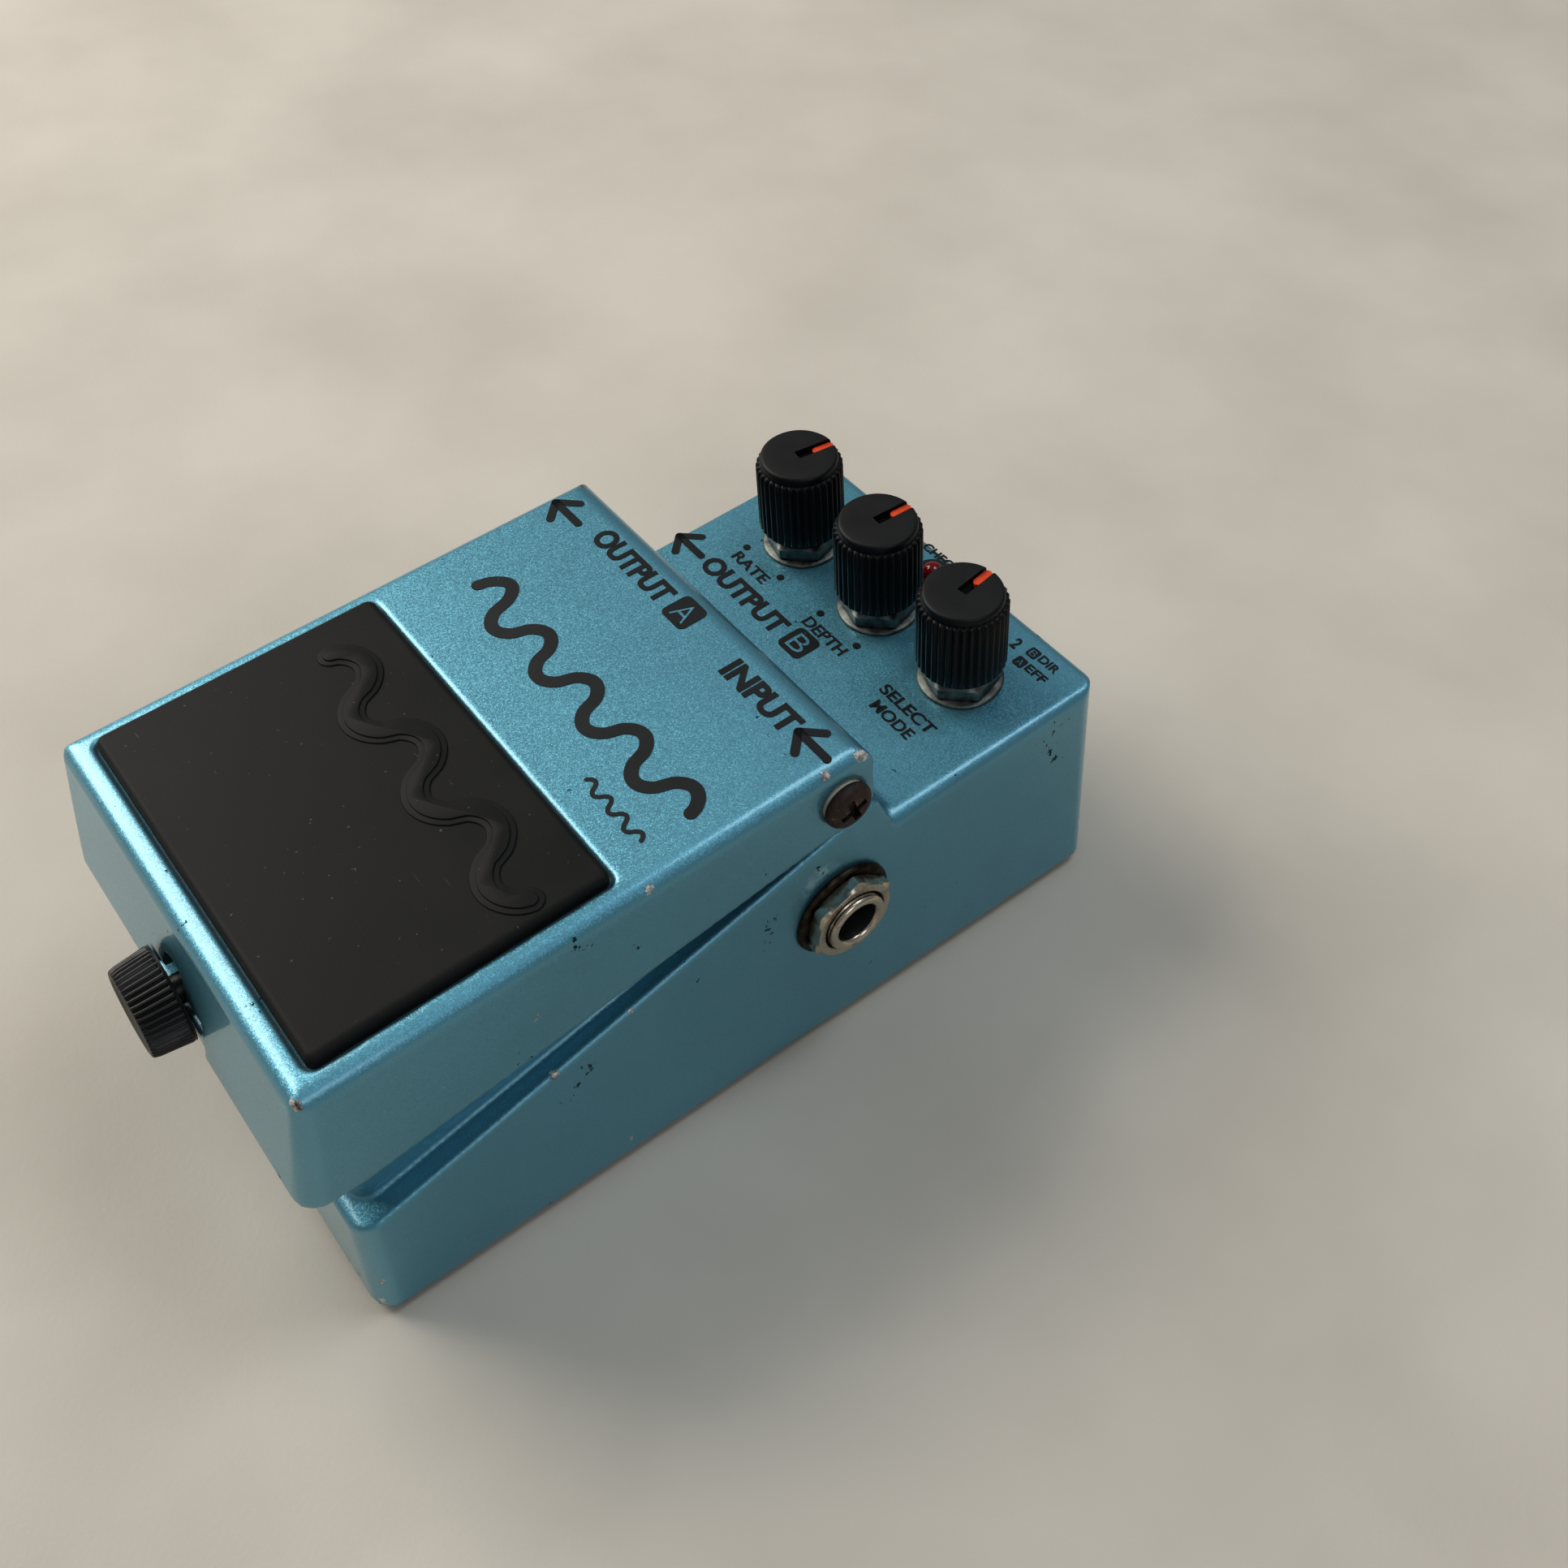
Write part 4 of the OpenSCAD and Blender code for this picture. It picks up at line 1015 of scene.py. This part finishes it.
title_wave()
letters("print_output_a", "OUTPUT", -22.0, -4.8, 75.0, 3.7, "treadle", on_treadle)
boxed_letter("print_box_a", "A", "treadle", on_treadle(-1.1, 75.2))
arrow("print_arrow_a", "treadle", on_treadle(-28.7, 73.6))
letters("print_input", "INPUT", 10.7, 25.2, 74.2, 3.8, "treadle", on_treadle)
arrow("print_arrow_in", "treadle", on_treadle(28.9, 74.3))
letters("print_output_b", "OUTPUT", -25.0, -5.4, 95.4, 3.7, "case", on_panel)
boxed_letter("print_box_b", "B", "case", on_panel(-1.6, 95.6))
arrow("print_arrow_b", "case", on_panel(-29.4, 95.2))
for name, words, left, right, middle, height in (
        ("rate", "RATE", -23.3, -15.3, 99.7, 2.0), ("depth", "DEPTH", -4.9, 4.3, 99.5, 2.0),
        ("select", "SELECT", 13.2, 24.4, 99.8, 2.0), ("mode", "MODE", 14.7, 23.1, 96.8, 2.0),
        ("check", "CHECK", -5.6, 2.4, 123.9, 1.6), ("two", "2", 18.7, 19.9, 120.6, 2.2),
        ("direct", "DIR", 23.7, 27.4, 121.4, 1.5), ("effect", "EFF", 23.7, 27.6, 118.7, 1.5)):
    letters("print_" + name, words, left, right, middle, height, "case", on_panel, 0.1)
boxed_letter("print_small_box_b", "B", "case", on_panel(22.4, 121.2), 1.9)
boxed_letter("print_small_box_a", "A", "case", on_panel(22.4, 118.5), 1.9)
knob_dots()

# ---------------------------------------------------------------- finishes of the carried CAD nodes
CARRIED = {
    "base_plate": bright_zinc, "base_rubber": rubber, "base_screws": bright_zinc, "thumb_bush": brass,
    "main_board": board, "control_board": board, "insulating_sheet": fish_paper,
    "board_screws": bright_zinc, "chips": chip_epoxy, "electrolytic_capacitors": blue_sleeve,
    "film_capacitors": brown_dip, "resistors": tan_lacquer, "trimmers": blue_plastic,
    "board_wires": grey_ribbon, "jack_housings": black_case, "jack_terminals": brass,
    "dc_inlet": black_case, "dc_inlet_pin": nickel, "pot_cases": bright_zinc, "led_collar": black_case,
    "switch_case": black_case, "switch_plunger": white_nylon, "battery": jacket,
    "battery_snap": black_case, "battery_foam": open_foam,
    "hinge_bushes": white_nylon, "striker_pad": wool_felt, "thumb_collar": white_nylon,
    "pot_shaft_1": pot_nickel, "pot_shaft_2": pot_nickel, "pot_shaft_3": pot_nickel,
}
for name, finish in CARRIED.items():
    mesh = nodes[name].data
    mesh.materials.clear()
    mesh.materials.append(finish)


# ---------------------------------------------------------------- floor, light and camera
def floor():
    """A plain pale cloth backdrop, flat under the pedal."""
    made, add = start("pale_cloth")
    place = add("TexCoord").outputs["Object"]
    cloud = add("TexNoise", {"Vector": place, "Scale": per(60), "Detail": 4.0})
    tone = add("ValToRGB", {"Fac": cloud}, stops=[(0.35, "bfb9af"), (0.65, "cbc5bb")])
    thread = add("TexNoise", {"Vector": place, "Scale": per(0.8), "Detail": 2.0})
    normal = add("Bump", {"Height": thread, "Strength": 0.2, "Distance": 0.2 * MM})
    finish_surface(add, add("BsdfPrincipled", {"Base Color": tone, "Roughness": 0.85, "Normal": normal}))
    form = bmesh.new()
    half = 1.2
    form.faces.new([form.verts.new((x, y, 0)) for x, y in ((-half, -half), (half, -half), (half, half),
                                                           (-half, half))])
    mesh = bpy.data.meshes.new("cloth_floor")
    form.to_mesh(mesh)
    form.free()
    made_floor = bpy.data.objects.new("cloth_floor", mesh)
    bpy.context.scene.collection.objects.link(made_floor)
    mesh.materials.append(made)


def lamp_panel(name, toward, distance, width, height, watts, code="ffffff"):
    """A soft rectangular light looking at the pedal."""
    light = bpy.data.lights.new(name, "AREA")
    light.shape = "RECTANGLE"
    light.size = width
    light.size_y = height
    light.energy = watts
    light.color = linear(code)[:3]
    made = bpy.data.objects.new(name, light)
    aim = Vector(toward).normalized()
    made.location = aim * distance
    made.rotation_mode = "QUATERNION"
    made.rotation_quaternion = aim.to_track_quat("Z", "Y")
    bpy.context.scene.collection.objects.link(made)


def surroundings():
    """Even grey room light."""
    world = bpy.data.worlds.new("room")
    bpy.context.scene.world = world
    world.use_nodes = True
    back = world.node_tree.nodes["Background"]
    back.inputs["Color"].default_value = linear("dfe4e8")
    back.inputs["Strength"].default_value = 0.25


def camera():
    """A hand-held view from the right front corner, looking down at the pedal."""
    pitch, roll, yaw = 0.764, 0.012, 0.899
    toward = Vector((-math.sin(yaw) * math.cos(pitch), math.cos(yaw) * math.cos(pitch), -math.sin(pitch)))
    level = Vector((math.cos(yaw), math.sin(yaw), 0))
    upward = level.cross(toward)
    right = level * math.cos(roll) + upward * math.sin(roll)
    top = -level * math.sin(roll) + upward * math.cos(roll)
    data = bpy.data.cameras.new("view")
    data.sensor_width = 36
    data.lens = 41.83
    data.shift_x = -0.0211
    data.shift_y = -0.1210
    data.clip_start = 0.01
    made = bpy.data.objects.new("view", data)
    turn = Matrix((right, top, -toward)).transposed().to_4x4()
    made.matrix_world = Matrix.Translation((0.150961, -0.080468, 0.232046)) @ turn
    bpy.context.scene.collection.objects.link(made)
    bpy.context.scene.camera = made


floor()
surroundings()
lamp_panel("window", (-0.85, -0.36, 0.80), 1.3, 0.8, 0.8, 12.5, "fff8ee")
lamp_panel("ceiling_lamp", (0.14, 0.40, 0.90), 1.2, 0.42, 0.42, 2.6, "f4faff")
lamp_panel("side_fill", (0.85, -0.15, 0.75), 1.4, 0.5, 0.5, 2.2, "f4faff")
camera()
bpy.context.scene.view_settings.view_transform = "Standard"
bpy.context.scene.view_settings.look = "Medium High Contrast"
